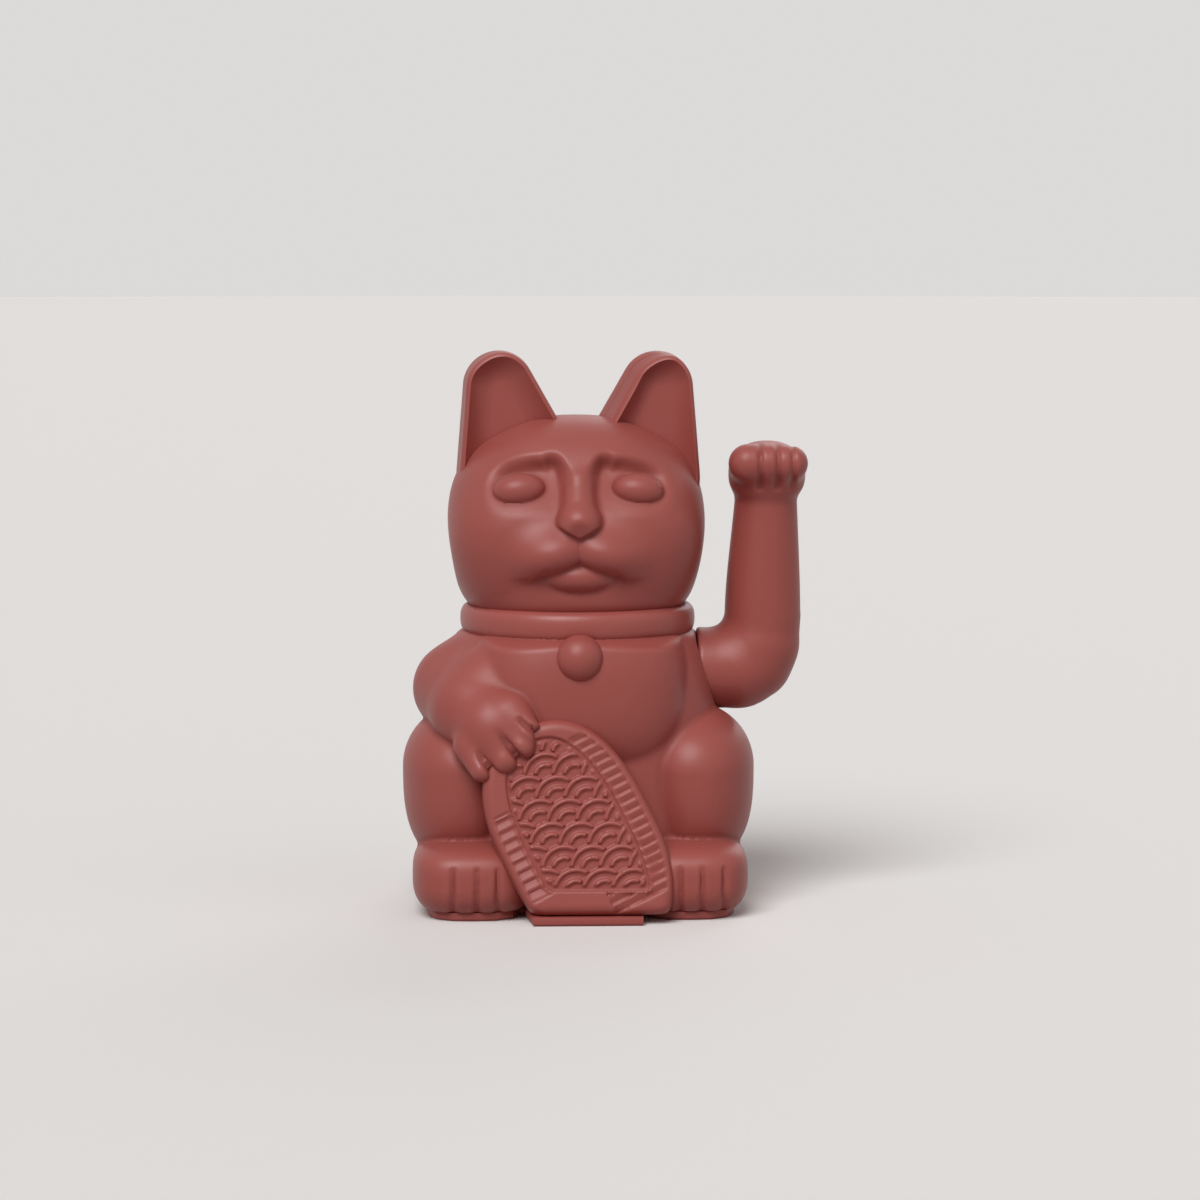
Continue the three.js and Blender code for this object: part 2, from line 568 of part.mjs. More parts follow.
// Waving arm: sections square to its centre line, which runs out along X, bends and goes up
function armField(x, y, z) {
  const height = z - pivotHeight;
  const elbow = armReach - 3.4;
  const root = blend(rod(x, y, height, [armRootX + 4, 0, 0], [elbow - 4.4, 0, -0.1], armRootRadius, 10.9),
    rod(x, y, height, [elbow - 4.4, 0, -0.1], [elbow, 0, 2.1], 10.9, 9.9), 0.6);
  const bend = rod(x, y, height, [elbow, 0, 2.1], [armReach - 0.9, -0.2, 6.7], 9.9, 10.2);
  const lower = rod(x, y, height, [armReach - 0.9, -0.2, 6.7], [armReach + 0.3, -0.6, 21], 10.2, 10.6);
  const upper = rod(x, y, height, [armReach + 0.3, -0.6, 21], [armReach + 0.2, -2, pawHeight - 8.9], 10.6, 9);
  const arm = blend(root, blend(blend(bend, lower, 0.6), upper, 0.6), 5);
  const [u, v, w] = [x - armReach - 0.3, y + 5, height - pawHeight];
  const [cos, sin] = [Math.cos(radians(20)), Math.sin(radians(20))];
  return blend(arm, ellipsoid(u, v * cos + w * sin, w * cos - v * sin, 10.3, 10, 7), 2.4);
}

function armRing([cx, cy, cz], turn, depth, columns) {
  const ring = [];
  for (let i = 0; i < columns; i += 1) {
    const t = 2 * Math.PI * i / columns;
    const [across, up] = [Math.cos(t), Math.sin(t)];
    const direction = [-Math.sin(turn) * up, across, Math.cos(turn) * up];
    const r = reach(armField, [cx, cy, cz], direction, depth, 24);
    ring.push(new THREE.Vector3(cx, cy, cz).addScaledVector(new THREE.Vector3(...direction), r));
  }
  return ring;
}

function armSolid(start, depth, columns, bendSteps, upSteps, top) {
  const bendX = armReach + 0.4 - armBend;
  const bendZ = pivotHeight + armBend - 0.1;
  const rings = [armRing([start, 0, pivotHeight - 0.1], 0, depth, columns)];
  // The bend's first ring stands clear of the flat end, also on the inner side of the bend
  const behind = Math.max(start + 0.5 - bendX, 0) / (armBend - armRootRadius + depth);
  const firstTurn = Math.asin(behind);
  for (let i = 0; i <= bendSteps; i += 1) {
    const turn = firstTurn + (Math.PI / 2 - firstTurn) * i / bendSteps;
    const centre = [bendX + armBend * Math.sin(turn), 0, bendZ - armBend * Math.cos(turn)];
    rings.push(armRing(centre, turn, depth, columns));
  }
  for (const rise of levels(upSteps, top - bendZ).slice(1)) {
    const forward = 4 * fade((rise + bendZ - pivotHeight - 40) / 14);
    rings.push(armRing([armReach + 0.4, -forward, bendZ + rise], Math.PI / 2, depth, columns));
  }
  return loft(rings);
}

const pawZ = pivotHeight + pawHeight;

function addArm() {
  const outside = armSolid(armRootX, 0, 22, 6, [[0, 9], [28, 3], [36, 1.7]], pawZ + 6.7);
  const fingers = [[-5.9, 4.5], [-0.6, 4.2], [4.1, 3.9], [7.8, 3.3]].map(([x, radius]) =>
    capsule([armReach + x, -6.5, pawZ + 2.7], [armReach + x, -13.6, pawZ - 1.3], radius));
  const inside = armSolid(armRootX + 2.2, armWall, 12, 4, [[0, 12]], pawZ - 6);
  const axleHole = crossRod(axleRadius + bore, armRootX - 5, armRootX + 5, 0, pivotHeight, 16);
  const arm = without(unite(outside, ...fingers), inside, axleHole);
  const [front, rear] = halves(arm, seam);
  addPiece('arm_front_shell', front, rose);
  addPiece('arm_rear_shell', rear, rose);
  const hubStart = armRootX + 2.2 + seat;
  const hub = crossRod(armRootRadius - armWall - seat - 0.2, hubStart, hubStart + 4, 0, pivotHeight, 24);
  const hubHole = crossRod(axleRadius + bore, hubStart - 1, hubStart + 5, 0, pivotHeight, 16);
  addPiece('arm_hub', without(hub, hubHole), nylon);
}

// Base plate: follows the body's outline, with a spigot inside the shells, the battery bay,
// posts for the board and a recess for the switch
const cellZ = door.thickness + 2 * seat + seat + cell.radius;
const bayHalfLength = (cell.length + contact.springLength + 2 * contact.thickness) / 2 + 2 * seat;
const bayHalfWidth = cell.radius + seat;
const bayTop = cellZ + cell.radius + seat;
const doorEdge = { x: bayHalfLength + door.overlap, y: bayHalfWidth + door.overlap };
const switchPlace = { x: -18, y: -12, travel: 1.2 };
const boardScrews = [board.left + board.screwInset, board.right - board.screwInset]
  .map((x) => [x, board.front + 3.5]);
const frameScrews = [-4, 4].map((y) => [frame.x - frame.gap / 2 - frame.thickness - 3.2, y]);

// A level ring moved in by an inset, square to its sides
function drawnIn(ring, inset) {
  return ring.map((p, i) => {
    const [a, b] = [ring.at(i - 1), ring[(i + 1) % ring.length]];
    const before = new THREE.Vector2(p.x - a.x, p.y - a.y).normalize();
    const after = new THREE.Vector2(b.x - p.x, b.y - p.y).normalize();
    const across = new THREE.Vector2(-before.y - after.y, before.x + after.x);
    return new THREE.Vector3(p.x, p.y, p.z).addScaledVector(
      new THREE.Vector3(across.x, across.y, 0), 2 * inset / across.lengthSq());
  });
}

function addBase() {
  const top = plateThickness + spigot.height;
  const lobe = (ring) => loft([[plateInset + plateChamfer, 0], [plateInset, plateChamfer],
    [plateInset, plateThickness]].map(([inset, z]) => raised(drawnIn(ring, inset), z)));
  const coinFoot = [[coin.x - 15, -20], [coin.x - 11.7, coin.y - 7.2], [coin.x + 19.2, coin.y - 7.2],
    [coin.x + 20.6, -20]].map(([x, y]) => new THREE.Vector3(x, y, 0));
  const slab = unite(lobe(bulbRing(torso, shellBottom, 0, 28)),
    ...pair(foot, (form) => lobe(bulbRing(form, shellBottom, 0, 18))), lobe(coinFoot));
  const rimRing = (inset) => bulbRing(torso, shellBottom, wall + inset, 20);
  const rim = loft([raised(rimRing(seat + 0.1), 1.4), raised(rimRing(seat + 0.1), top)])
    .subtract(loft([raised(rimRing(seat + spigot.thickness), plateThickness),
      raised(rimRing(seat + spigot.thickness), top + 1)]));
  const trimmedRim = without(rim, ...screwPlaces.map((place) => bossWithRib(place, seat, top + 1)));
  const bay = block(-bayHalfLength - bayWall, bayHalfLength + bayWall, cell.y - bayHalfWidth - bayWall,
    cell.y + bayHalfWidth + bayWall, plateThickness - 1, bayTop + bayRoof);
  const posts = boardScrews.map(([x, y]) => uprightRod(2.6, x, y, plateThickness - 1, boardHeight - seat, 16));
  const contactSlots = [-1, 1].map((side) => {
    const x = side * (bayHalfLength - seat - contact.thickness / 2);
    return block(x - 0.6, x + 0.6, cell.y - 2.4, cell.y + 2.4, bayTop - 1, bayTop + bayRoof + 1);
  });
  const cuts = [
    block(-bayHalfLength, bayHalfLength, cell.y - bayHalfWidth, cell.y + bayHalfWidth, -1, bayTop),
    block(-doorEdge.x - seat, doorEdge.x + seat, cell.y - doorEdge.y - seat - 0.1,
      cell.y + doorEdge.y + seat, -1, door.thickness + 2 * seat),
    block(switchPlace.x - 3.1, switchPlace.x + 3.1, switchPlace.y - 1.9, switchPlace.y + 1.9, -1, 5),
    ...boardScrews.map(([x, y]) => uprightRod(0.9 + bore, x, y, plateThickness, boardHeight + 1, 12)),
    ...frameScrews.map(([x, y]) => uprightRod(0.9 + bore, x, y, 0.8, 5, 12)),
    ...contactSlots,
  ];
  for (const [x, y] of screwPlaces) {
    cuts.push(uprightRod(screw.head + seat, x, y, -1, screw.headHeight + seat, 16));
    cuts.push(uprightRod(screw.shank + seat, x, y, -1, 5, 10));
  }
  addPiece('base_plate', without(unite(slab, trimmedRim, bay, ...posts), ...cuts), rose);
  screwPlaces.forEach(([x, y], i) => {
    const top = screw.headHeight + 0.2;
    const body = unite(uprightRod(screw.head, x, y, 0.2, top, 16), uprightRod(screw.shank, x, y, 1, screw.length, 8));
    addPiece(`base_screw_${i + 1}`, body, steel);
  });
}

// Battery door, hinged along its front edge
function addDoor() {
  const y0 = cell.y - doorEdge.y;
  const y1 = cell.y + doorEdge.y;
  const [low, high] = [seat, seat + door.thickness];
  const round = door.thickness / 2;
  const lid = block(-doorEdge.x, doorEdge.x, y0 + round, y1, low, high);
  const hinge = crossRod(round, -doorEdge.x, doorEdge.x, y0 + round, low + round, 16);
  const grip = block(-6, 6, y1 - 4.5, y1 - 3.3, low - 1, low + 0.7);
  const grip2 = block(-6, 6, y1 - 7.3, y1 - 6.1, low - 1, low + 0.7);
  addPiece('battery_door', without(unite(lid, hinge), grip, grip2), rose);
}

// Cell and its two contacts
function addCell() {
  const start = -bayHalfLength + 2 * seat + contact.thickness + contact.springLength;
  const body = cell.length - cell.nubHeight;
  const points = [[0, 0], [cell.radius - 0.6, 0], [cell.radius, 0.6], [cell.radius, body - 0.6],
    [cell.radius - 0.6, body], [cell.nub, body], [cell.nub, cell.length], [0, cell.length]];
  const turned = new THREE.LatheGeometry(points.map(([x, y]) => new THREE.Vector2(x, y)), 28);
  addPiece('battery_cell', solid(turned.rotateZ(-Math.PI / 2).translate(start, cell.y, cellZ)), steel);
  const tabTop = bayTop + bayRoof + 1.6;
  const half = contact.thickness / 2;
  const flatX = bayHalfLength - seat - half;
  const strip = (x) => unite(block(x - half, x + half, cell.y - contact.width / 2, cell.y + contact.width / 2,
    cellZ - 5, bayTop - 1.5), block(x - half, x + half, cell.y - 2, cell.y + 2, bayTop - 2, tabTop));
  addPiece('contact_plate', strip(flatX), steel);
  const wire = 0.35;
  const turns = 3;
  class Coil extends THREE.Curve {
    getPoint(t, target = new THREE.Vector3()) {
      const angle = 2 * Math.PI * turns * t;
      const radius = 4.4 - 1.2 * t;
      const along = contact.thickness / 2 + t * (contact.springLength - wire);
      return target.set(-flatX + along, cell.y + radius * Math.sin(angle), cellZ + radius * Math.cos(angle));
    }
  }
  const round = new THREE.Shape().absarc(0, 0, wire, 0, 2 * Math.PI);
  const spring = new THREE.ExtrudeGeometry(round,
    { steps: 10 * turns, curveSegments: 3, extrudePath: new Coil(), bevelEnabled: false });
  addPiece('contact_spring', unite(strip(-flatX), solid(spring)), steel);
}

// Slide switch: its body stands on the plate and the slider shows in the plate's underside
function addSwitch() {
  const { x, y, travel } = switchPlace;
  const body = block(x - 7, x + 7, y - 3.4, y + 3.4, shellBottom, shellBottom + 5.4);
  const flangeTop = shellBottom + 0.9;
  const channel = block(x - 3.4 - travel - seat, x + 3.4 + travel + seat, y - 2.2 - seat, y + 2.2 + seat,
    shellBottom - 1, flangeTop + seat);
  addPiece('switch_body', body.subtract(channel), black);
  const flange = block(x - 3.4, x + 3.4, y - 2.2, y + 2.2, shellBottom, flangeTop);
  const knob = block(x - 1.6, x + 1.6, y - 1.5, y + 1.5, 0.5, shellBottom + 0.2);
  addPiece('switch_slider', unite(flange, knob), black);
}

// Circuit board: a wide part in front and a tongue between the frame's uprights for the coil
const boardTop = boardHeight + boardThickness;
const coilBase = boardTop + seat;
const coilTop = coilBase + coil.height;

function addElectronics() {
  const half = frame.gap / 2 - 0.8;
  const rear = -frame.halfDepth - 2;
  const outline = [[board.left, board.front], [board.right, board.front], [board.right, rear],
    [frame.x + half, rear], [frame.x + half, coil.flange], [frame.x - half, coil.flange],
    [frame.x - half, rear], [board.left, rear]];
  const holes = boardScrews.map(([x, y]) => uprightRod(0.9 + bore, x, y, 0, 20, 12));
  addPiece('circuit_board', without(plate(outline, boardHeight, boardTop), ...holes), green);
  boardScrews.forEach(([x, y], i) => {
    const screwBody = unite(uprightRod(1.9, x, y, boardTop + 0.2, boardTop + 1.4, 16),
      uprightRod(0.9, x, y, plateThickness + 0.3, boardTop + 0.5, 12));
    addPiece(`board_screw_${i + 1}`, screwBody, steel);
  });
  const flange = coil.flangeThickness;
  const bobbin = [[1.2, 0], [coil.flange, 0], [coil.flange, flange], [coil.core, flange],
    [coil.core, coil.height - flange], [coil.flange, coil.height - flange], [coil.flange, coil.height],
    [1.2, coil.height], [1.2, 0]];
  const spool = new THREE.LatheGeometry(bobbin.map(([r, z]) => new THREE.Vector2(r, z)), 20);
  addPiece('coil_bobbin', solid(spool.rotateX(Math.PI / 2).translate(frame.x, 0, coilBase)), black);
  const [wound0, wound1] = [coilBase + flange + bore, coilTop - flange - bore];
  addPiece('drive_coil', uprightRod(coil.winding, frame.x, 0, wound0, wound1, 28)
    .subtract(uprightRod(coil.core + bore, frame.x, 0, wound0 - 1, wound1 + 1, 28)), copper);
  const onBoard = boardTop + seat;
  addPiece('capacitor', uprightRod(3.15, 2, -14.5, onBoard, onBoard + 11, 20), black);
  const flatSide = block(6, 16, -16.8, -14, onBoard - 1, onBoard + 6);
  addPiece('transistor', uprightRod(2.3, 11, -18, onBoard, onBoard + 4.6, 20).subtract(flatSide), black);
  const resistor = unite(crossRod(1.15, 12.8, 19.2, -13, onBoard + 1.6, 16),
    crossRod(0.35, 11.4, 20.6, -13, onBoard + 1.6, 8),
    uprightRod(0.35, 11.6, -13, onBoard, onBoard + 1.7, 8), uprightRod(0.35, 20.4, -13, onBoard, onBoard + 1.7, 8));
  addPiece('resistor', resistor, nylon);
}

// Leads, each held at both ends
function lead(points) {
  const curve = new THREE.CatmullRomCurve3(points.map((p) => new THREE.Vector3(...p)), false, 'centripetal');
  const round = new THREE.Shape().absarc(0, 0, 0.6, 0, 2 * Math.PI);
  return solid(new THREE.ExtrudeGeometry(round,
    { steps: 16, curveSegments: 3, extrudePath: curve, bevelEnabled: false }));
}

function addLeads() {
  const tabX = bayHalfLength - seat - contact.thickness / 2;
  const tabTop = bayTop + bayRoof + 1.6 + seat;
  const bayEnd = bayHalfLength + bayWall;
  const pad = boardTop + seat;
  const { x, y } = switchPlace;
  const switchTop = shellBottom + 5.4 + seat;
  addPiece('lead_red', lead([[tabX, cell.y, tabTop], [tabX + 0.4, cell.y - 1, tabTop + 2.6],
    [bayEnd + 1.6, 10, bayTop + 2], [bayEnd + 1.6, 2, bayTop - 2.3], [bayEnd, -6, bayTop - 4.8],
    [board.right - 1.2, -12.4, pad + 3.1], [board.right - 2.4, -13, pad]]), plastic(0xb3322c));
  addPiece('lead_black', lead([[-tabX, cell.y, tabTop], [-tabX - 0.2, cell.y - 1, tabTop + 2.6],
    [-bayEnd - 1.6, 10, bayTop + 2], [-bayEnd + 1, 2, bayTop - 3], [x - 4.6, y + 3, switchTop + 3],
    [x - 4, y, switchTop]]), plastic(0x202124));
  addPiece('lead_white', lead([[x + 4, y, switchTop], [x + 4.4, y - 0.4, switchTop + 3],
    [board.left + 1, -14, pad + 3.6], [board.left + 2.6, -14, pad]]), plastic(0xdad7cf));
}

// Pivot frame: two uprights over a web, standing on the plate, with a bush in each

function addFrame() {
  const [z0, z1] = [shellBottom, pivotHeight];
  const outline = [[-frame.halfDepth, z0], [frame.halfDepth, z0], [frame.halfDepth, z0 + 12], [5.6, z1]];
  for (let i = 1; i <= 8; i += 1) {
    const angle = Math.PI * i / 8;
    outline.push([5.6 * Math.cos(angle), z1 + 5.6 * Math.sin(angle)]);
  }
  outline.push([-frame.halfDepth, z0 + 12]);
  const uprights = uprightX.map((x) => sidePlate(outline, x, x + frame.thickness));
  const webTop = z0 + frame.web;
  const [footX] = frameScrews[0];
  const web = block(footX - 3.2, uprightX[1] + frame.thickness, -frame.halfDepth, frame.halfDepth, z0, webTop);
  const cuts = [crossRod(bush.radius + bore, 0, armRootX, 0, pivotHeight, 20),
    ...frameScrews.map(([x, y]) => uprightRod(0.9 + bore, x, y, 0, 10, 12))];
  addPiece('pivot_frame', without(unite(...uprights, web), ...cuts), nylon);
  frameScrews.forEach(([x, y], i) => {
    addPiece(`frame_screw_${i + 1}`, unite(uprightRod(1.9, x, y, webTop + 0.2, webTop + 1.4, 16),
      uprightRod(0.9, x, y, 1.2, webTop + 0.5, 12)), steel);
  });
  const bushSolid = (x, outward) => {
    const length = frame.thickness + bush.lip;
    const start = outward > 0 ? x : x - bush.lip;
    const flangeX = outward > 0 ? x + frame.thickness + bore : x - bore - bush.lip;
    const body = unite(crossRod(bush.radius, start, start + length, 0, pivotHeight, 20),
      crossRod(bush.flange, flangeX, flangeX + bush.lip, 0, pivotHeight, 20));
    return body.subtract(crossRod(axleRadius + runningGap, x - 5, x + 8, 0, pivotHeight, 20));
  };
  addPiece('bush_inner', bushSolid(uprightX[0], -1), copper);
  addPiece('bush_outer', bushSolid(uprightX[1], 1), copper);
}

// Pendulum on the axle: a lever between the uprights, a steel weight and the drive magnet
const magnetBottom = coilTop + airGap;

function addPendulum() {
  const clipX = uprightX[0] - bore - bush.lip - seat - 0.9;
  const axleEnd = armRootX + 2.2 + seat + 6;
  addPiece('pivot_axle', crossRod(axleRadius, clipX - 1, axleEnd, 0, pivotHeight, 20), steel);
  const clip = crossRod(3.4, clipX, clipX + 0.9, 0, pivotHeight, 20);
  addPiece('axle_clip', without(clip, crossRod(axleRadius + bore, clipX - 1, clipX + 2, 0, pivotHeight, 20),
    block(clipX - 1, clipX + 2, -1.1, 1.1, pivotHeight, pivotHeight + 5)), steel);
  const magnetTop = magnetBottom + magnet.thickness;
  const shoe = 1.6;
  const bottom = magnetTop + seat;
  const lever = unite(crossRod(4.2, frame.x - 4.5, frame.x + 4.5, 0, pivotHeight, 24),
    block(frame.x - 1.5, frame.x + 1.5, -3, 3, bottom, pivotHeight),
    uprightRod(magnet.radius, frame.x, 0, bottom, bottom + shoe, 24));
  addPiece('pendulum_lever', lever.subtract(
    crossRod(axleRadius + bore, frame.x - 6, frame.x + 6, 0, pivotHeight, 20)), nylon);
  addPiece('drive_magnet', uprightRod(magnet.radius, frame.x, 0, magnetBottom, magnetTop, 24), steel);
  const low = bottom + shoe + seat;
  const mid = weight.offsetY;
  const mass = block(frame.x - weight.width / 2, frame.x + weight.width / 2, mid - weight.depth / 2,
    mid + weight.depth / 2, low, low + weight.height);
  const slot = block(frame.x - 1.5 - bore, frame.x + 1.5 + bore, -3 - bore, 3 + bore, low - 1,
    low + weight.height + 1);
  addPiece('pendulum_weight', mass.subtract(slot), steel);
}

addShells();
addBase();
addDoor();
addCell();
addSwitch();
addElectronics();
addLeads();
addFrame();
addPendulum();
addArm();

export default lucky;
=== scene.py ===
# %% [markdown]
# # A waving lucky cat
#
# The real object is a hollow plastic figure of a seated cat. One paw holds an old oval coin
# against the belly and the other arm is a piece of its own, which waves on a steel axle. The
# shells, the arm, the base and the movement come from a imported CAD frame, and this lesson
# dresses them: smooth moulded skins, a struck coin, a base plate and their materials.
# Lengths in the tables are millimetres, because a maker thinks in them, and the factor MM
# turns them into Blender's metres.

# %% Load the frame
import json
import math

import bmesh
import bpy
import numpy as np
from mathutils import Matrix, Vector


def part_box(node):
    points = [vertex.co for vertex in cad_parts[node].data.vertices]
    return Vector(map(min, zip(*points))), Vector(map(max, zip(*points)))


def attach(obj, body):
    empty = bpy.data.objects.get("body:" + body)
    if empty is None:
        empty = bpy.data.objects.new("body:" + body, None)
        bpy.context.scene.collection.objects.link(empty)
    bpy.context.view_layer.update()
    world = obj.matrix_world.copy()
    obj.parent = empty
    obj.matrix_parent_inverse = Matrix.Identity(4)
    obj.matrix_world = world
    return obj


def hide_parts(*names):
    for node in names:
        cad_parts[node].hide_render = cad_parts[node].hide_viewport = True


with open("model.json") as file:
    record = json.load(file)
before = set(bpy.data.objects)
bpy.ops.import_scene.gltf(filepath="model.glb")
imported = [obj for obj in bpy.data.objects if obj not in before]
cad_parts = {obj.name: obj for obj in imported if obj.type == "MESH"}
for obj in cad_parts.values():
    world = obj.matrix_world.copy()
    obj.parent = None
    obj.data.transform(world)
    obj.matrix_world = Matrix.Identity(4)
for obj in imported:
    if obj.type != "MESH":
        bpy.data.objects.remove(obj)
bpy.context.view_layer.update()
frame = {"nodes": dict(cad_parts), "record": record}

MM = 0.001

# %% [markdown]
# ## Camera
#
# The photograph was taken with a long lens from a little above the cat and slightly to its
# right-hand side. A long lens flattens the figure, so its place matters as much as its angle.

# %% Camera
camera_data = bpy.data.cameras.new("camera")
camera_data.lens = 121.88
camera_data.sensor_width = 36
camera_data.clip_start = 0.01
camera = bpy.data.objects.new("camera", camera_data)
camera.location = Vector((-36.09, -1099.42, 195.0)) * MM
aim = Vector((6.132, -0.236, 82.116)) * MM
camera.rotation_euler = (aim - camera.location).to_track_quat("-Z", "Y").to_euler()
bpy.context.scene.collection.objects.link(camera)
bpy.context.scene.camera = camera
print("camera is", round((aim - camera.location).length, 3), "m away")

# %% [markdown]
# ## Light
#
# One broad, distant lamp from the camera's upper left gives the soft forms their shade, and it
# shines evenly on the whole floor. Two faint ones, from the right and from behind, keep the
# far side from going black.

# %% Lamps
scene = bpy.context.scene
scene.view_settings.view_transform = "Standard"


def add_sun(name, place, spread, power):
    """A distant lamp that shines from a place towards the figure, with a soft edge."""
    lamp = bpy.data.lights.new(name, "SUN")
    lamp.angle = math.radians(spread)
    lamp.energy = power
    holder = bpy.data.objects.new(name, lamp)
    holder.location = place
    holder.rotation_euler = (-Vector(place)).to_track_quat("-Z", "Y").to_euler()
    scene.collection.objects.link(holder)


add_sun("key", (-0.6, -1.5, 1.75), 36, 2.3)
add_sun("fill", (1.1, -0.9, 0.9), 60, 0.2)
add_sun("rim", (0.6, 1.5, 0.9), 40, 0.4)

# %% [markdown]
# ## Writing shaders as sums
#
# A material is a small calculation over the surface. Linking Math nodes by hand hides it, so
# one class wraps a socket and lets it be added, multiplied and compared like a number. Any
# other node comes from one method that takes its type, its settings and its inputs.


# %% The shader helper
class Value:
    """A socket that behaves like a number in an expression."""

    def __init__(self, paint, socket):
        self.paint, self.socket = paint, socket

    def _math(self, operation, *values):
        return self.paint.node("ShaderNodeMath", {"operation": operation},
                               dict(enumerate(values)))

    def __add__(self, other):
        return self._math("ADD", self, other)

    def __sub__(self, other):
        return self._math("SUBTRACT", self, other)

    def __mul__(self, other):
        return self._math("MULTIPLY", self, other)

    def __rsub__(self, other):
        return self._math("SUBTRACT", other, self)

    __radd__ = __add__

    def clamped(self):
        return self._math("MINIMUM", self._math("MAXIMUM", self, 0.0), 1.0)


class Paint:
    """One material with a Principled shader, and the nodes that feed it."""

    def __init__(self, name, **settings):
        self.material = bpy.data.materials.new(name)
        self.material.use_nodes = True
        self.tree = self.material.node_tree
        self.shader = self.tree.nodes["Principled BSDF"]
        self.set(**settings)

    def node(self, kind, settings, inputs, output=0):
        made = self.tree.nodes.new(kind)
        for key, value in settings.items():
            if key == "steps":
                made.color_ramp.interpolation = "CONSTANT"
                ramp = made.color_ramp.elements
                while len(ramp) < len(value):
                    ramp.new(0.5)
                for element, (place, shade) in zip(ramp, value):
                    element.position = place
                    element.color = shade
            else:
                setattr(made, key, value)
        for key, value in inputs.items():
            self.feed(made.inputs[key], value)
        return Value(self, made.outputs[output])

    def feed(self, socket, value):
        if isinstance(value, Value):
            self.tree.links.new(value.socket, socket)
        else:
            socket.default_value = value

    def set(self, **values):
        for key, value in values.items():
            self.feed(self.shader.inputs[key.replace("_", " ")], value)

    def place(self, scale=(1, 1, 1)):
        spot = self.node("ShaderNodeTexCoord", {}, {}, "Object")
        return self.node("ShaderNodeMapping", {}, {"Vector": spot, "Scale": scale})

    def noise(self, where, scale, detail=2.0):
        return self.node("ShaderNodeTexNoise", {},
                         {"Vector": where, "Scale": scale, "Detail": detail})

    def mix(self, factor, a, b):
        return self.node("ShaderNodeMix", {"data_type": "RGBA"}, {0: factor, 6: a, 7: b}, 2)

    def along(self, where, axis, low, high):
        """How far a point is from low to high, in metres, along one axis."""
        parts = self.node("ShaderNodeSeparateXYZ", {}, {"Vector": where}, axis)
        return (parts - low) * (1 / (high - low))

    def ramp(self, value, steps):
        """Colours in hard steps: each one starts at its place, from 0 to 1."""
        return self.node("ShaderNodeValToRGB", {"steps": steps}, {"Fac": value})

    def attribute(self, name):
        return self.node("ShaderNodeAttribute", {"attribute_name": name}, {}, "Fac")

    def bump(self, height, distance, strength=1.0):
        return self.node("ShaderNodeBump", {}, {"Height": height, "Distance": distance,
                                               "Strength": strength})


def wear(obj, paint):
    obj.data.materials.clear()
    obj.data.materials.append(paint.material)


# %% [markdown]
# ## Floor and world
#
# A plain pale floor takes the shadow, and the world has nearly its colour, so that the horizon
# hardly shows. Only the camera, mirrors and glass see that pale colour. All other light meets a
# dimmer, warm floor and world, which keeps the shade under the cat deep.

# %% The floor and the world
def pale_to_the_eye(tree, dim, pale):
    """The pale colour for the camera, mirrors and glass, and the dim one for all other light."""
    rays = tree.nodes.new("ShaderNodeLightPath")
    shown = rays.outputs["Is Camera Ray"]
    for kind in ("Is Glossy Ray", "Is Transmission Ray"):
        either = tree.nodes.new("ShaderNodeMath")
        either.operation = "MAXIMUM"
        tree.links.new(shown, either.inputs[0])
        tree.links.new(rays.outputs[kind], either.inputs[1])
        shown = either.outputs[0]
    mixed = tree.nodes.new("ShaderNodeMix")
    mixed.data_type = "RGBA"
    mixed.inputs[6].default_value = dim
    mixed.inputs[7].default_value = pale
    tree.links.new(shown, mixed.inputs[0])
    return mixed.outputs[2]


floor_paint = Paint("floor_matt", Roughness=0.9)
floor_mesh = bmesh.new()
bmesh.ops.create_circle(floor_mesh, cap_ends=True, segments=64, radius=6.0)
floor_data = bpy.data.meshes.new("floor")
floor_mesh.to_mesh(floor_data)
floor_mesh.free()
floor = bpy.data.objects.new("floor", floor_data)
scene.collection.objects.link(floor)
floor_colour = pale_to_the_eye(floor_paint.tree, (0.42, 0.33, 0.31, 1), (0.90, 0.89, 0.88, 1))
floor_paint.tree.links.new(floor_colour, floor_paint.shader.inputs["Base Color"])
wear(floor, floor_paint)

world = bpy.data.worlds.new("world")
world.use_nodes = True
scene.world = world
sky = world.node_tree
sky_colour = pale_to_the_eye(sky, (0.17, 0.15, 0.145, 1), (0.714, 0.705, 0.696, 1))
sky.links.new(sky_colour, sky.nodes["Background"].inputs["Color"])
print("nodes in the world's shader:", len(sky.nodes))
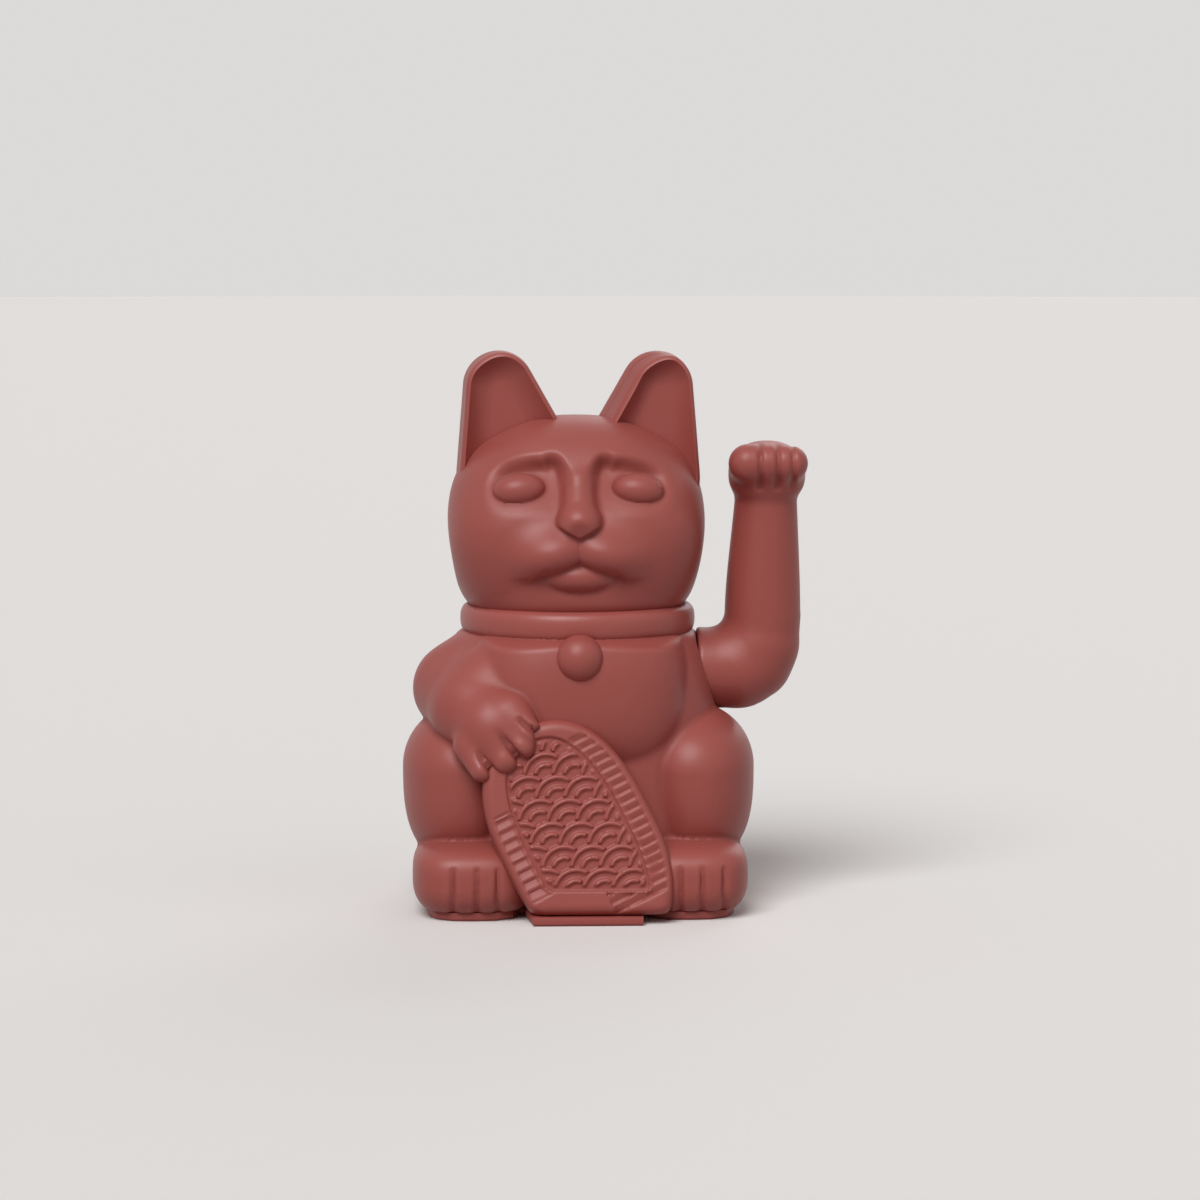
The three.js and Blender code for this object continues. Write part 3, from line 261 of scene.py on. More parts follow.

# %% [markdown]
# ## The moulded plastic
#
# The figure is moulded in one terracotta rose plastic with a silky, fine-grained surface. Its
# colour hardly varies, a little with the flow of the melt. On top of that the creases get a
# painted shade, a darker colour, and are a little rougher. The edges get a painted highlight, a
# shade paler, and are smoother where hands polish them. The creases and the edges come from two
# attributes that are measured on each skin later.

# %% Moulded plastic
def moulded_plastic(name, skin=True, grain=1.0, dark=(0.318, 0.073, 0.061, 1),
                    pale=(0.376, 0.091, 0.077, 1)):
    paint = Paint(name, IOR=1.48, Specular_IOR_Level=0.4)
    where = paint.place()
    flow = paint.noise(where, 28.0, 3.0)
    fleck = paint.noise(where, 900.0, 2.0)
    tone = (flow - 0.5) * 0.5 + (fleck - 0.5) * 0.16
    colour = paint.mix((tone + 0.5).clamped(), dark, pale)
    rough = 0.43 + (flow - 0.5) * 0.12 + (fleck - 0.5) * 0.08
    if skin:
        crease, edge = paint.attribute("crease"), paint.attribute("edge")
        # Painted shade: the creases are darkened towards a deep rose
        colour = paint.mix((crease * 0.34).clamped(), colour, (0.180, 0.033, 0.026, 1))
        # Painted highlight: the edges are a shade paler; their lower roughness below is real polish
        colour = paint.mix((edge * 0.2).clamped(), colour, (0.48, 0.142, 0.122, 1))
        rough = rough + crease * 0.12 - edge * 0.07
    fine = paint.noise(where, 2600.0, 1.0)
    orange_peel = paint.noise(where, 420.0, 1.0)
    height = fine * 0.35 + orange_peel * 0.65
    paint.set(Base_Color=colour, Roughness=rough.clamped(),
              Normal=paint.bump(height, 0.00007 * grain, 0.55))
    return paint


plastic = moulded_plastic("rose_plastic")
print("plastic:", len(plastic.tree.nodes), "nodes")

# %% [markdown]
# ## Forms as fields
#
# A sculptor thinks of a cat as rounded masses that flow into each other. A field does the
# same in numbers: for any point it tells how far, in millimetres, the point is outside a form,
# and it is negative inside. Two forms join by taking the smaller value, with a fillet where
# the two are close. The same masses, at the same sizes, are the solids of the frame.


# %% Fields of round forms
def blend(a, b, k):
    """Both forms, joined with a fillet of about k."""
    return np.minimum(a, b) - np.maximum(k - np.abs(a - b), 0) ** 2 / (4 * k)


def carve(a, b, k):
    """Form a without form b, with the edge rounded by about k."""
    return -blend(-a, b, k)


def fade(t):
    t = np.clip(t, 0, 1)
    return t * t * (3 - 2 * t)


def turned(p, centre, axis, degrees):
    """Points as a form sees them that is turned about its centre."""
    spin = np.array(Matrix.Rotation(math.radians(-degrees), 3, axis))
    return (p - centre) @ spin.T + centre


def ball(p, centre, radii):
    q = (p - centre) / radii
    k = np.sqrt((q * q).sum(1))
    slope = np.sqrt(((q / radii) ** 2).sum(1))
    return k * (k - 1) / np.maximum(slope, 1e-6)


def rod(p, start, end, r0, r1):
    start, end = np.array(start, float), np.array(end, float)
    along = end - start
    t = np.clip((p - start) @ along / (along @ along), 0, 1)
    off = p - start - t[:, None] * along
    return np.sqrt((off * off).sum(1)) - r0 - (r1 - r0) * t


def bulb(p, centre, half_width, half_depth, plan, rise, rise_round, drop, drop_round):
    """A rounded, box-like mass with its own height and roundness above and below."""
    q = np.abs(p - centre)
    above = p[:, 2] > centre[2]
    flat = ((q[:, 0] / half_width) ** plan + (q[:, 1] / half_depth) ** plan + 1e-12) ** (1 / plan)
    power = np.where(above, rise_round, drop_round)
    tall = q[:, 2] / np.where(above, rise, drop) + 1e-9
    k = (flat ** power + tall ** power) ** (1 / power)
    return 0.92 * (k - 1) * np.sqrt((q * q).sum(1)) / np.maximum(k, 1e-6)


def oval(u, v, a, b, power=2.4, degrees=0):
    """Distance from an oval outline in a plane."""
    c, s = math.cos(math.radians(degrees)), math.sin(math.radians(degrees))
    p, q = u * c - v * s, u * s + v * c
    k = ((np.abs(p) / a) ** power + (np.abs(q) / b) ** power + 1e-9) ** (1 / power)
    return (k - 1) * np.sqrt(p * p + q * q) / k


def groove(u, v, start, end, first, last):
    """One along a line from start to end, falling to nothing beside it, and wider at its end."""
    run = np.subtract(end, start)
    share = np.clip(((u - start[0]) * run[0] + (v - start[1]) * run[1]) / (run @ run), 0, 1)
    away = np.hypot(u - start[0] - share * run[0], v - start[1] - share * run[1])
    return fade(1 - away / (first + (last - first) * share))


def both_sides(p):
    """Points folded onto the +X side, for what is alike left and right."""
    return np.stack([np.abs(p[:, 0]), p[:, 1], p[:, 2]], 1)


print("3 mm outside a 10 mm ball:", ball(np.array([[13.0, 0, 0]]), (0, 0, 0), (10, 10, 10)))

# %% [markdown]
# ## From masses to a skin
#
# Plain spheres and cones, each a bmesh primitive, are set where the masses are. A voxel
# remesh welds them into one skin, and every vertex is then pulled onto the field along its
# slope, coarse first and fine after. So the skin has even faces, and its fillets and creases
# are exactly as tight as the field says.


# %% Helpers for meshes
detail = 1.0


def object_from(name, bm):
    mesh = bpy.data.meshes.new(name)
    bm.to_mesh(mesh)
    bm.free()
    obj = bpy.data.objects.new(name, mesh)
    scene.collection.objects.link(obj)
    return obj


def settle(obj):
    """Makes the modifiers' result the object's own mesh."""
    graph = bpy.context.evaluated_depsgraph_get()
    result = bpy.data.meshes.new_from_object(obj.evaluated_get(graph))
    obj.modifiers.clear()
    obj.data = result
    return obj


def copied(obj, name):
    twin = bpy.data.objects.new(name, obj.data.copy())
    scene.collection.objects.link(twin)
    return twin


def combine(obj, others, how="DIFFERENCE"):
    """Cuts the other solids from obj, or joins or intersects them, and removes them."""
    for other in others:
        tool = obj.modifiers.new("solid", "BOOLEAN")
        tool.operation = how
        tool.solver = "MANIFOLD"
        tool.object = other
    settle(obj)
    for other in others:
        bpy.data.objects.remove(other)
    return obj


def box(x0, x1, y0, y1, z0, z1):
    bm = bmesh.new()
    size = Vector((x1 - x0, y1 - y0, z1 - z0)) * MM
    middle = Vector((x0 + x1, y0 + y1, z0 + z1)) * MM / 2
    place = Matrix.Translation(middle) @ Matrix.Diagonal((*size, 1))
    bmesh.ops.create_cube(bm, size=1, matrix=place)
    return object_from("box", bm)


def add_ball(bm, centre, radii, around=24, up=16):
    size = Matrix.Diagonal((*(r * MM for r in radii), 1))
    place = Matrix.Translation(Vector(centre) * MM)
    bmesh.ops.create_uvsphere(bm, u_segments=around, v_segments=up, radius=1, matrix=place @ size)


def add_cone(bm, start, end, r0, r1, sides=24):
    a, b = Vector(start) * MM, Vector(end) * MM
    turn = (b - a).to_track_quat("Z", "Y").to_matrix().to_4x4()
    bmesh.ops.create_cone(bm, cap_ends=True, segments=sides, radius1=r0 * MM, radius2=r1 * MM,
                          depth=(b - a).length, matrix=Matrix.Translation((a + b) / 2) @ turn)


def add_rod(bm, start, end, r0, r1):
    for place, radius in ((start, r0), (end, r1)):
        add_ball(bm, place, (radius, radius, radius))
    add_cone(bm, start, end, r0, r1)


def cylinder(radius, start, end, sides=48, top_radius=None):
    """A solid of its own, from one point to another."""
    bm = bmesh.new()
    add_cone(bm, start, end, radius, radius if top_radius is None else top_radius, sides)
    return object_from("rod", bm)


def values_of(obj, kind="co"):
    """Three numbers for each vertex: its place (co) or its normal."""
    flat = np.empty(len(obj.data.vertices) * 3)
    obj.data.vertices.foreach_get(kind, flat)
    return flat.reshape(-1, 3)


def moved(obj, places):
    obj.data.vertices.foreach_set("co", places.ravel())
    obj.data.update()
    return obj


def remeshed(obj, voxel):
    tool = obj.modifiers.new("voxels", "REMESH")
    tool.mode = "VOXEL"
    tool.voxel_size = voxel * MM
    return settle(obj)


def pulled(obj, field, rounds):
    """Moves every vertex onto the field's surface."""
    p = values_of(obj) / MM
    for _ in range(rounds):
        d = field(p)
        slope = np.stack([field(p + h) - field(p - h) for h in np.eye(3) * 0.04], 1) / 0.08
        steep = np.maximum((slope * slope).sum(1), 0.25)
        p -= np.clip(d / steep, -1.5, 1.5)[:, None] * slope
    return moved(obj, p * MM)


def neighbours(mesh):
    """A function that gives, for values on the vertices, the mean over each one's neighbours."""
    pairs = np.empty(len(mesh.edges) * 2, np.int64)
    mesh.edges.foreach_get("vertices", pairs)
    a, b = pairs[0::2], pairs[1::2]
    count = len(mesh.vertices)
    near = np.maximum(np.bincount(a, minlength=count) + np.bincount(b, minlength=count), 1)

    def average(values):
        return (np.bincount(a, values[b], count) + np.bincount(b, values[a], count)) / near

    return average


def middles(average, p):
    """For every vertex, the middle of its neighbours."""
    return np.stack([average(p[:, i]) for i in range(3)], 1)


def relaxed(obj, rounds=1):
    """Moves every vertex towards the middle of its neighbours."""
    average = neighbours(obj.data)
    for _ in range(rounds):
        p = values_of(obj)
        moved(obj, 0.4 * p + 0.6 * middles(average, p))
    return obj


def skin(name, bm, field, voxel):
    """A skin from rough masses, coarse first, and relaxed before each finer one."""
    obj = object_from(name, bm)
    for size, rounds in ((2.2, 8), (1.2, 5), (voxel * detail, 4)):
        relaxed(pulled(remeshed(obj, size), field, rounds), 2)
    for _ in range(4):
        relaxed(pulled(obj, field, 2))
    return pulled(obj, field, 2)


def bulged(bm, centre, half_width, half_depth, plan, rise, rise_round, drop, drop_round):
    """The solid of a bulb: a ball whose points move out along their rays to the bulb's surface."""
    made = bmesh.ops.create_uvsphere(bm, u_segments=64, v_segments=40, radius=1)
    for vertex in made["verts"]:
        x, y, z = abs(vertex.co.x / half_width), abs(vertex.co.y / half_depth), vertex.co.z
        height, power = (rise, rise_round) if z > 0 else (drop, drop_round)
        k = ((x ** plan + y ** plan) ** (power / plan) + abs(z / height) ** power) ** (1 / power)
        vertex.co = (vertex.co / k + Vector(centre)) * MM


print("detail factor", detail)

# %% [markdown]
# ## Creases and edges
#
# The painted shade in the creases, and the painted highlight and the polish on the edges,
# follow the shape, so the plastic needs to know where the skin is hollow and where it is sharp.
# Each vertex is compared with the middle of its neighbours: above them it lies on an edge, below
# them in a crease. Some smoothing takes the noise out.


# %% Measure creases and edges
def mark_creases(obj):
    average = neighbours(obj.data)
    p = values_of(obj) / MM
    middle = p
    for _ in range(3):
        middle = middles(average, middle)
    bulge = ((p - middle) * values_of(obj, "normal")).sum(1)
    for _ in range(6):
        bulge = 0.5 * bulge + 0.5 * average(bulge)
    for label, value in (("edge", bulge * 9 - 0.25), ("crease", -bulge * 11 - 0.1)):
        layer = obj.data.attributes.new(label, "FLOAT", "POINT")
        layer.data.foreach_set("value", np.clip(value, 0, 1).astype(np.float32))


def smooth_shaded(obj, degrees=50):
    obj.data.shade_smooth()
    obj.data.set_sharp_from_angle(angle=math.radians(degrees))
    return obj


# %% [markdown]
# ## The head
#
# The head is a wide rounded mass, a little flat on top, with full cheeks. The brow is a soft
# ledge over two hollows, and the bridge of the nose stands between them and ends in a V. Below
# are two muzzle lobes over an open mouth and a wedge of a lower lip. All of it is symmetrical,
# so the field folds the points onto one side.

# %% Head sizes
HEAD = np.array([0.0, 1.0, 100.5])
EYE = np.array([15.8, -22.3, 13.2])
EYE_SIZE = np.array([6.9, 4.8, 4.5])
MUZZLE = np.array([6.6, -24.1, -3.4])
MUZZLE_SIZE = np.array([10.2, 9.8, 6.4])


# %% Head field
def head_mass(q):
    """The head without its features, from its centre and folded onto one side."""
    mass = bulb(q, (0, 0, 0), 33.4, 28.0, 2.5, 32.0, 2.35, 25.5, 3.4)
    mass = blend(mass, ball(q, (17.5, -13.0, 0.5), (14, 13.5, 13)), 9)
    mass = blend(mass, ball(q, (0, -9, -16.0), (25, 18.6, 9.5)), 3)
    return blend(mass, ball(q, (21.6, -0.5, 7.5), (11.5, 16, 15.5)), 6)


def head_field(p):
    # The head sits a touch to the cat's right
    q = both_sides(p + (0.4, 0, 0)) - HEAD
    x, y, z = q.T
    d = head_mass(q)
    # Eye sockets: deepest beside the bridge, fading out below the eye
    socket = blend(oval(x - 13, z - 12.9, 11.2, 8.6, degrees=9),
                   oval(x - 6.9, z - 13.9, 3.6, 8.4), 2)
    depth = (3.9 - 0.12 * np.clip(x - 8, 0, 20)) * fade((z - 5.4) / 12.2)
    d = d + fade((-6 - y) / 6) * depth * fade(0.26 - socket / 6.0)
    bridge = blend(rod(q, (0, -11.5, 25.0), (0, -22.7, 14.5), 3.0, 4.0),
                   rod(q, (0, -22.7, 14.5), (0, -27.2, 7.0), 4.0, 5.0), 1)
    d = blend(d, bridge, 1.6)
    # Muzzle: soft above, with a crisp edge over the mouth
    lobe = ball(turned(q, MUZZLE, "Y", 14), MUZZLE, MUZZLE_SIZE)
    soft = blend(d, lobe, 6.0)
    mouth = ball(q, (0, -33.0, -10.2), (9.8, 6.0, 3.6))
    crisp = blend(carve(d, mouth, 1.2), lobe, 0.6)
    line = -9.4 + 0.24 * np.clip(11 - x, 0, 11)
    share = fade((z - line) / 3.2 + np.clip((x - 9.2) / 3.4, 0, 1))
    d = soft * share + crisp * (1 - share)
    d = blend(d, ball(q, (0, -24.3, -9.6), (10.4, 6.8, 4.9)), 0.8)
    d = carve(d, rod(q, (0, -34.4, 1.6), (0, -34.2, -6.6), 0.5, 0.8), 1.2)
    # Nose: a rounded wedge, slanted back under its tip, that ends below in a V
    tip = carve(ball(q, (0, -28.9, 4.8), (6.0, 6.1, 5.6)), 0.88 * (z - 1.0) - 0.48 * x, 0.5)
    tip = carve(tip, 0.92 * (y + 34.9) + 0.39 * (z - 5.4), 0.5)
    d = blend(d, tip, 0.9)
    return blend(d, ball(turned(q, EYE, "Y", 4), EYE, EYE_SIZE), 0.4)


# %% [markdown]
# ## The ears
#
# Each ear is a thick plate with a round tip, widening to its foot on the head. Its outline is
# two circles and the straight lines that touch both. The front is dished and leaves a rim, and
# the back is round.


# %% Ear fields
EAR_TIP, EAR_FOOT = np.array([21.4, 140.3]), np.array([16.0, 116.0])
EAR_RADII = (9.7, 17.0)


def ear_places(p):
    """How far each point is outside the ear's outline, and its place through the thickness."""
    q = both_sides(p)
    flat = q[:, [0, 2]]
    run = EAR_FOOT - EAR_TIP
    length = float(np.hypot(*run))
    along = run / length
    t = (flat - EAR_TIP) @ along
    inward = (flat - EAR_TIP) @ np.array([along[1], -along[0]])
    s = np.abs(inward)
    small, large = EAR_RADII
    lean = (large - small) / length
    side = s * math.sqrt(1 - lean * lean) - t * lean - small
    spot = t + s * lean / math.sqrt(1 - lean * lean)
    outline = np.where(spot < 0, np.hypot(s, t) - small,
                       np.where(spot > length, np.hypot(s, t - length) - large, side))
    thin = 1 - 0.3 * fade((q[:, 2] - 124) / 28)
    y = (q[:, 1] + 0.2) / thin + 0.2
    # Towards the front each ear narrows on the side away from the waving arm
    inner = fade((inward + 4) / 10)
    slant = np.where(p[:, 0] > 0, 3.8 * inner, 1.2 * (1 - inner))
    return outline + slant * np.clip((5 - y) / 12, 0, 1), y


def ear_plate(p):
    outline, y = ear_places(p)
    return carve(outline, 7.1 - np.abs(y), np.where(y < 0, 2.2, 4.0))


def ear_dish(p):
    """What is scooped out of the ear's front: a bowl that stands open to the front."""
    outline, y = ear_places(p)
    deep = -(outline + 0.9) / 7.0
    bowl = np.where(deep > 0, 4.9 * (1 - (1 - np.clip(deep, 0, 1)) ** 2), 9.8 * deep)
    scoop = (y + 7.1 - bowl) / 1.4
    return carve(scoop, -np.maximum(outline - 2.5, -14 - y), 1.0)


print("ear tips at z =", EAR_TIP[1] + EAR_RADII[0], "mm")

# %% Ears
def rough_ears(y, radius):
    bm = bmesh.new()
    for side in (-1, 1):
        add_rod(bm, (21.4 * side, y, 140.3), (17 * side, y, 118), radius, radius)
        add_rod(bm, (19 * side, y, 136), (10 * side, y, 124), radius - 1, radius)
        add_rod(bm, (25.5 * side, y, 138), (26 * side, y, 112), radius - 1, radius - 1)
        add_rod(bm, (17 * side, y, 118), (17 * side, y, 108), radius + 2, radius + 2)
    return bm


ears = skin("ears", rough_ears(0, 7.0), ear_plate, 0.5)
combine(ears, [skin("dish", rough_ears(-8, 5.5), ear_dish, 0.5)])
print("ears:", len(ears.data.polygons), "faces")

# %% Head skin
bm = bmesh.new()
add_ball(bm, HEAD, (33.5, 27.5, 27))
add_ball(bm, HEAD + (0, 2, -4), (32, 26, 20))
for side in (-1, 1):
    add_ball(bm, HEAD + (17 * side, -13, 0.5), (14, 13.5, 13))
    add_ball(bm, (7 * side, -22, 98), (9, 10, 6.5))
    add_ball(bm, HEAD + EYE * (side, 1, 1), EYE_SIZE + 0.6)
add_rod(bm, (0, -20, 115), (0, -26, 107.5), 4, 5)
head = skin("head", bm, head_field, 0.45)
print("head skin:", len(head.data.polygons), "faces")

# %% [markdown]
# ## The body
#
# A seated trunk with a round belly, a thigh on each side that folds against it in a crisp
# crease, and two block-like feet with three short lines for the toes. One arm comes forward
# over the belly and its four fingers lie on the coin. The tail is a short roll behind.

# %% Body field
FINGERTIPS = ((-26.4, 40.8, 3.3), (-20.6, 43.4, 3.9), (-16.0, 47.0, 3.7), (-14.0, 51.0, 3.2))
FINGER_LINES = (((-27.6, 45.6), (-23.2, 39.6)), ((-22.4, 51.4), (-16.0, 43.6)),
                ((-16.6, 54.4), (-11.6, 49.8)))
HAND = np.array([-22.6, -28.6, 50.2])
FOOT = np.array([28.6, -19.5, 10.0])
TOE_LINES = (-34.2, -27.9, -22.4, 26.1, 31.8, 37.6)


def coin_arm(p):
    """The arm that holds the coin: one smooth form, with three lines pressed in for its fingers."""
    x, y, z = p.T
    arm = blend(rod(p, (-32.2, -5.5, 59), (-27.8, -19.2, 54.6), 12.6, 12.0),
                rod(p, (-27.8, -19.2, 54.6), (-23.0, -26.2, 50.8), 12.0, 11.3), 2)
    arm = blend(arm, rod(p, (-27.5, -18.0, 63.2), (-16.6, -28.6, 55.2), 6.0, 4.8), 4)
    arm = blend(arm, ball(p, HAND, (9.5, 8.8, 9.5)), 3)
    fingers = rod(p, (-26.2, -33.2, 43.0), (-16.4, -33.2, 48.6), 3.0, 3.0)
    for tip_x, tip_z, radius in FINGERTIPS:
        tip, root = (tip_x, -35.6, tip_z), (tip_x - 4.2, -32.0, tip_z + 5.4)
        fingers = blend(fingers, rod(p, tip, root, radius, radius), 1.0)
    arm = blend(arm, fingers, 3.0)
    for start, end in FINGER_LINES:
        arm = arm + 1.9 * groove(x, z, start, end, 0.7, 1.8) * fade((-24 - y) / 5)
    return arm


def body_field(p):
    q = both_sides(p)
    d = bulb(p, (0, 5, 30), 38.8, 34.0, 2.8, 56.0, 3.2, 60.0, 4.0)
    d = blend(d, bulb(p, (0.3, -6.6, 60), 29.5, 27.0, 3.0, 31.0, 2.2, 28.8, 2.4), 0.7)
    d = blend(d, bulb(q, (31.2, -7, 38), 16.4, 23.0, 2.1, 16.6, 2.0, 26.0, 2.8), 1.3)
    foot = bulb(q, FOOT, 16.4, 20, 3.0, 10.2, 3.6, 11.2, 2.5)
    for x in TOE_LINES:
        line = groove(p[:, 0], p[:, 2], (x, 14.2), (x, 1), 0.9, 1.9)
        foot = foot + 0.85 * line * fade((-26 - p[:, 1]) / 6)
    d = blend(d, foot, 1.5)
    # The shoulder flows into the trunk, and the lower arm lies on it with a crease
    loose = fade((p[:, 2] - 57) / 11) * fade((-17 - p[:, 0]) / 12)
    d = blend(d, coin_arm(p), 0.9 + 5.0 * loose)
    # Room for the collar, which stands a little out of the neck
    height = p[:, 2]
    round_neck = np.hypot(p[:, 0], p[:, 1] * 1.07) - 31.1 - 2.2 * np.clip(74.4 - height, 0, 20)
    d = carve(d, -np.where(height > 60, 0.6 * round_neck, -9.0), 1.2)
    d = carve(d, 78 - height, 0.8)
    tail = blend(rod(p, (6, 38, 15), (2, 40, 21), 5, 4.6),
                 rod(p, (2, 40, 21), (-3, 39, 27), 4.6, 4), 2)
    d = blend(d, tail, 2.0)
    return carve(d, p[:, 2] + 8, 2)


# %% Body skin
bm = bmesh.new()
add_ball(bm, (0, 5, 34), (38, 33, 50))
add_ball(bm, (0, 5, 12), (38, 33, 22))
add_ball(bm, (0.3, -6.6, 60), (32, 26.8, 28))
for side in (-1, 1):
    add_ball(bm, (31.2 * side, -7, 36), (16.4, 23, 20))
    add_ball(bm, (28.6 * side, -19.5, 8), (16, 20, 14))
add_rod(bm, (-32.2, -5.5, 59), (-27.8, -19.2, 54.6), 12.6, 12)
add_rod(bm, (-27.5, -18, 63), (-16.6, -28.6, 55), 6, 4.8)
add_ball(bm, HAND, (10.5, 8.4, 10.5))
for x, z, radius in FINGERTIPS:
    add_rod(bm, (x - 4.2, -32.0, z + 5.4), (x, -35.6, z), radius, radius)
add_rod(bm, (6, 38, 15), (-3, 39, 27), 5, 4)
body = skin("body", bm, body_field, 0.65)
print("body skin:", len(body.data.polygons), "faces")

# %% [markdown]
# ## The coin
#
# An old oval gold coin: a raised rim with scalloped notches down both long sides, and a sunk
# middle with a struck relief. The relief here is a field of overlapping waves, a common pattern
# on such pieces. The coin is made flat, in its own axes U, V and W, and then set against the
# belly, leaning to the cat's right.

# %% Coin field
LEAN, TILT = math.radians(26.7), math.radians(-9)
COIN_PLACE = (Matrix.Translation((-1.1, -37.2, 22.4)) @ Matrix.Rotation(TILT, 4, "X")
              @ Matrix(((math.cos(LEAN), -math.sin(LEAN), 0, 0), (0, 0, -1, 0),
                        (math.sin(LEAN), math.cos(LEAN), 0, 0), (0, 0, 0, 1))))
WAVE = 6.85


def waves(u, v):
    """Height of overlapping wave circles: each one hides the circles behind it."""
    height = np.zeros(len(u))
    covered = np.zeros(len(u), bool)
    for row in range(-12, 12):
        middle = u - (row % 2) * WAVE
        middle = (middle + WAVE) % (2 * WAVE) - WAVE
        r = np.hypot(middle, v - row * WAVE / 2 + 2.0)
        inside = (r < WAVE) & ~covered
        ridges = np.maximum(fade((0.85 - np.abs(r - 5.85)) / 0.6),
                            fade((0.85 - np.abs(r - 3.0)) / 0.6))
        height = np.where(inside, ridges, height)
        covered |= inside
    return height


def coin_field(p):
    u, v, w = p.T
    outline = oval(u, v, 20.8, 32.6, 2.5)
    # How high the point will lie over the ground once the coin is in place
    height = 22.4 + 0.988 * (0.449 * u + 0.893 * v) - 0.156 * w
    middle = carve(oval(u, v, 13.7, 28.6, 2.5), height - 8.4, 2.0)
    right = u > 0
    reach = np.where(right, 24.0 - np.abs(v - 1), 12.6 - np.abs(v - 2.5))
    step = (v * np.where(right, 1, -1) + 40) / np.where(right, 2.5, 2.9) % 1
    band = fade((middle - 0.4) / 0.5) * fade((-outline - 1.9) / 0.8) * fade(reach / 0.6)
    scallop = band * fade(step / 0.2) * (1 - 0.85 * step)
    relief = 0.8 * waves(u, v) * fade((-middle - 1.0) / 0.5)
    top = 3.0 - 0.8 * fade(0.5 - middle / 0.7) + relief - scallop
    plate = carve(outline, 0.85 * (top - w), 3.4)
    return carve(plate, np.minimum(w + 13, height - 2.5), 2.4)


# %% Coin skin
bm = bmesh.new()
for v in np.linspace(-25, 25, 9):
    add_ball(bm, (0, v, -5), (18.5 * (1 - (abs(v) / 32) ** 2.5) ** 0.4, 6, 8))
coin = skin("coin", bm, coin_field, 0.36)
coin.data.transform(Matrix.Scale(MM, 4) @ COIN_PLACE @ Matrix.Scale(1 / MM, 4))
print("coin skin:", len(coin.data.polygons), "faces")

# %% [markdown]
# ## Collar and bell
#
# The collar is a rounded band. A lathe would turn it, and Blender's spin does the same with one
# profile. The bell is a plain ball that sits half under the collar.

# %% Collar and bell
COLLAR_WIDTH, COLLAR_DEPTH, COLLAR_Z = 28.9, 27, 77.5
BAND_DEPTH, BAND_HEIGHT = 3.0, 4.1

bm = bmesh.new()
profile = []
for t in np.linspace(0, 2 * np.pi, 28, endpoint=False):
    across = abs(math.cos(t)) ** 0.8 * math.copysign(1, math.cos(t))
    up = abs(math.sin(t)) ** 0.8 * math.copysign(1, math.sin(t))
    spot = Vector((COLLAR_WIDTH + BAND_DEPTH * across, 0, COLLAR_Z + BAND_HEIGHT * up))
    profile.append(bm.verts.new(spot * MM))
edges = [bm.edges.new((profile[i - 1], profile[i])) for i in range(len(profile))]
bmesh.ops.spin(bm, geom=profile + edges, axis=(0, 0, 1), cent=(0, 0, 0), angle=2 * math.pi,
               steps=180, use_merge=True)
bmesh.ops.scale(bm, vec=(1, COLLAR_DEPTH / COLLAR_WIDTH, 1), verts=bm.verts)
bmesh.ops.recalc_face_normals(bm, faces=bm.faces)
collar = object_from("collar", bm)

bm = bmesh.new()
add_ball(bm, (-0.4, -30.8, 69.6), (6.4, 5.8, 6.4), 72, 48)
bell = object_from("bell", bm)
print("collar and bell:", len(collar.data.polygons), len(bell.data.polygons))

# %% [markdown]
# ## Shells
#
# The figure is moulded in two halves, front and rear, about 2.2 mm thick, that meet in a thin
# seam over its sides. The hollow is each form again, smaller by the wall, and under the collar
# it ends in a cone. A round socket in the side takes the root of the waving arm. In the seam a
# thin tongue of the rear half, half a millimetre under the surface, reaches to the front half,
# so that no light comes through. Here each half is parted once more, just over the collar, so
# that head and body are pieces of their own.

# %% Join and hollow the figure
PIVOT_Z = 63.5


def part_of(make, *values):
    """One plain solid, made by any of the bmesh helpers above."""
    bm = bmesh.new()
    make(bm, *values)
    return object_from("part", bm)


hollow = [part_of(bulged, (0, 5, 30), 36.6, 31.8, 2.8, 53.8, 3.2, 57.8, 4.0),
          part_of(bulged, (0, 3.5, 100.5), 30.4, 21.5, 2.5, 28.5, 2.35, 22.5, 3.4),
          cylinder(19, (0, 1, 68), (0, 1, 92)), cylinder(9.5, (-31, -4, 59), (-24, -19, 51))]
under_collar = combine(cylinder(62, (0, 0, -40), (0, 0, 57.2), 96),
                       [cylinder(62, (0, 0, 57), (0, 0, 71.8), 96, top_radius=29.5)], "UNION")
combine(hollow[0], [under_collar], "INTERSECT")
for side in (-1, 1):
    hollow.append(part_of(bulged, (31.2 * side, -7, 38), 14.2, 20.6, 2.1, 14.4, 2.0, 23.6, 2.8))
    hollow.append(part_of(bulged, (28.6 * side, -18.8, 9.7), 13.9, 17.2, 3.0, 7.6, 3.6, 10.5, 3.0))
combine(body, [head, ears, cylinder(24.6, (0, 0, 74), (0, 0, 83)), collar, bell, coin], "UNION")
combine(body, hollow + [cylinder(11.8, (31.9, 0, PIVOT_Z), (60, 0, PIVOT_Z), 96),
                        cylinder(3, (20, 0, PIVOT_Z), (40, 0, PIVOT_Z))])
print("whole figure:", len(body.data.polygons), "faces")

# %% Seam tongue
REACH = 90  # To each side, past everything
FOOT_Z, NECK_Z, TOP_Z = 2.6, 82.2, 190
SEAM, TONGUE_FRONT, TONGUE_REAR, TONGUE_INSET = 0.15, -0.13, 0.5, 0.5


def triangulated(obj):
    bm = bmesh.new()
    bm.from_mesh(obj.data)
    bmesh.ops.triangulate(bm, faces=bm.faces)
    bm.to_mesh(obj.data)
    bm.free()
    return obj


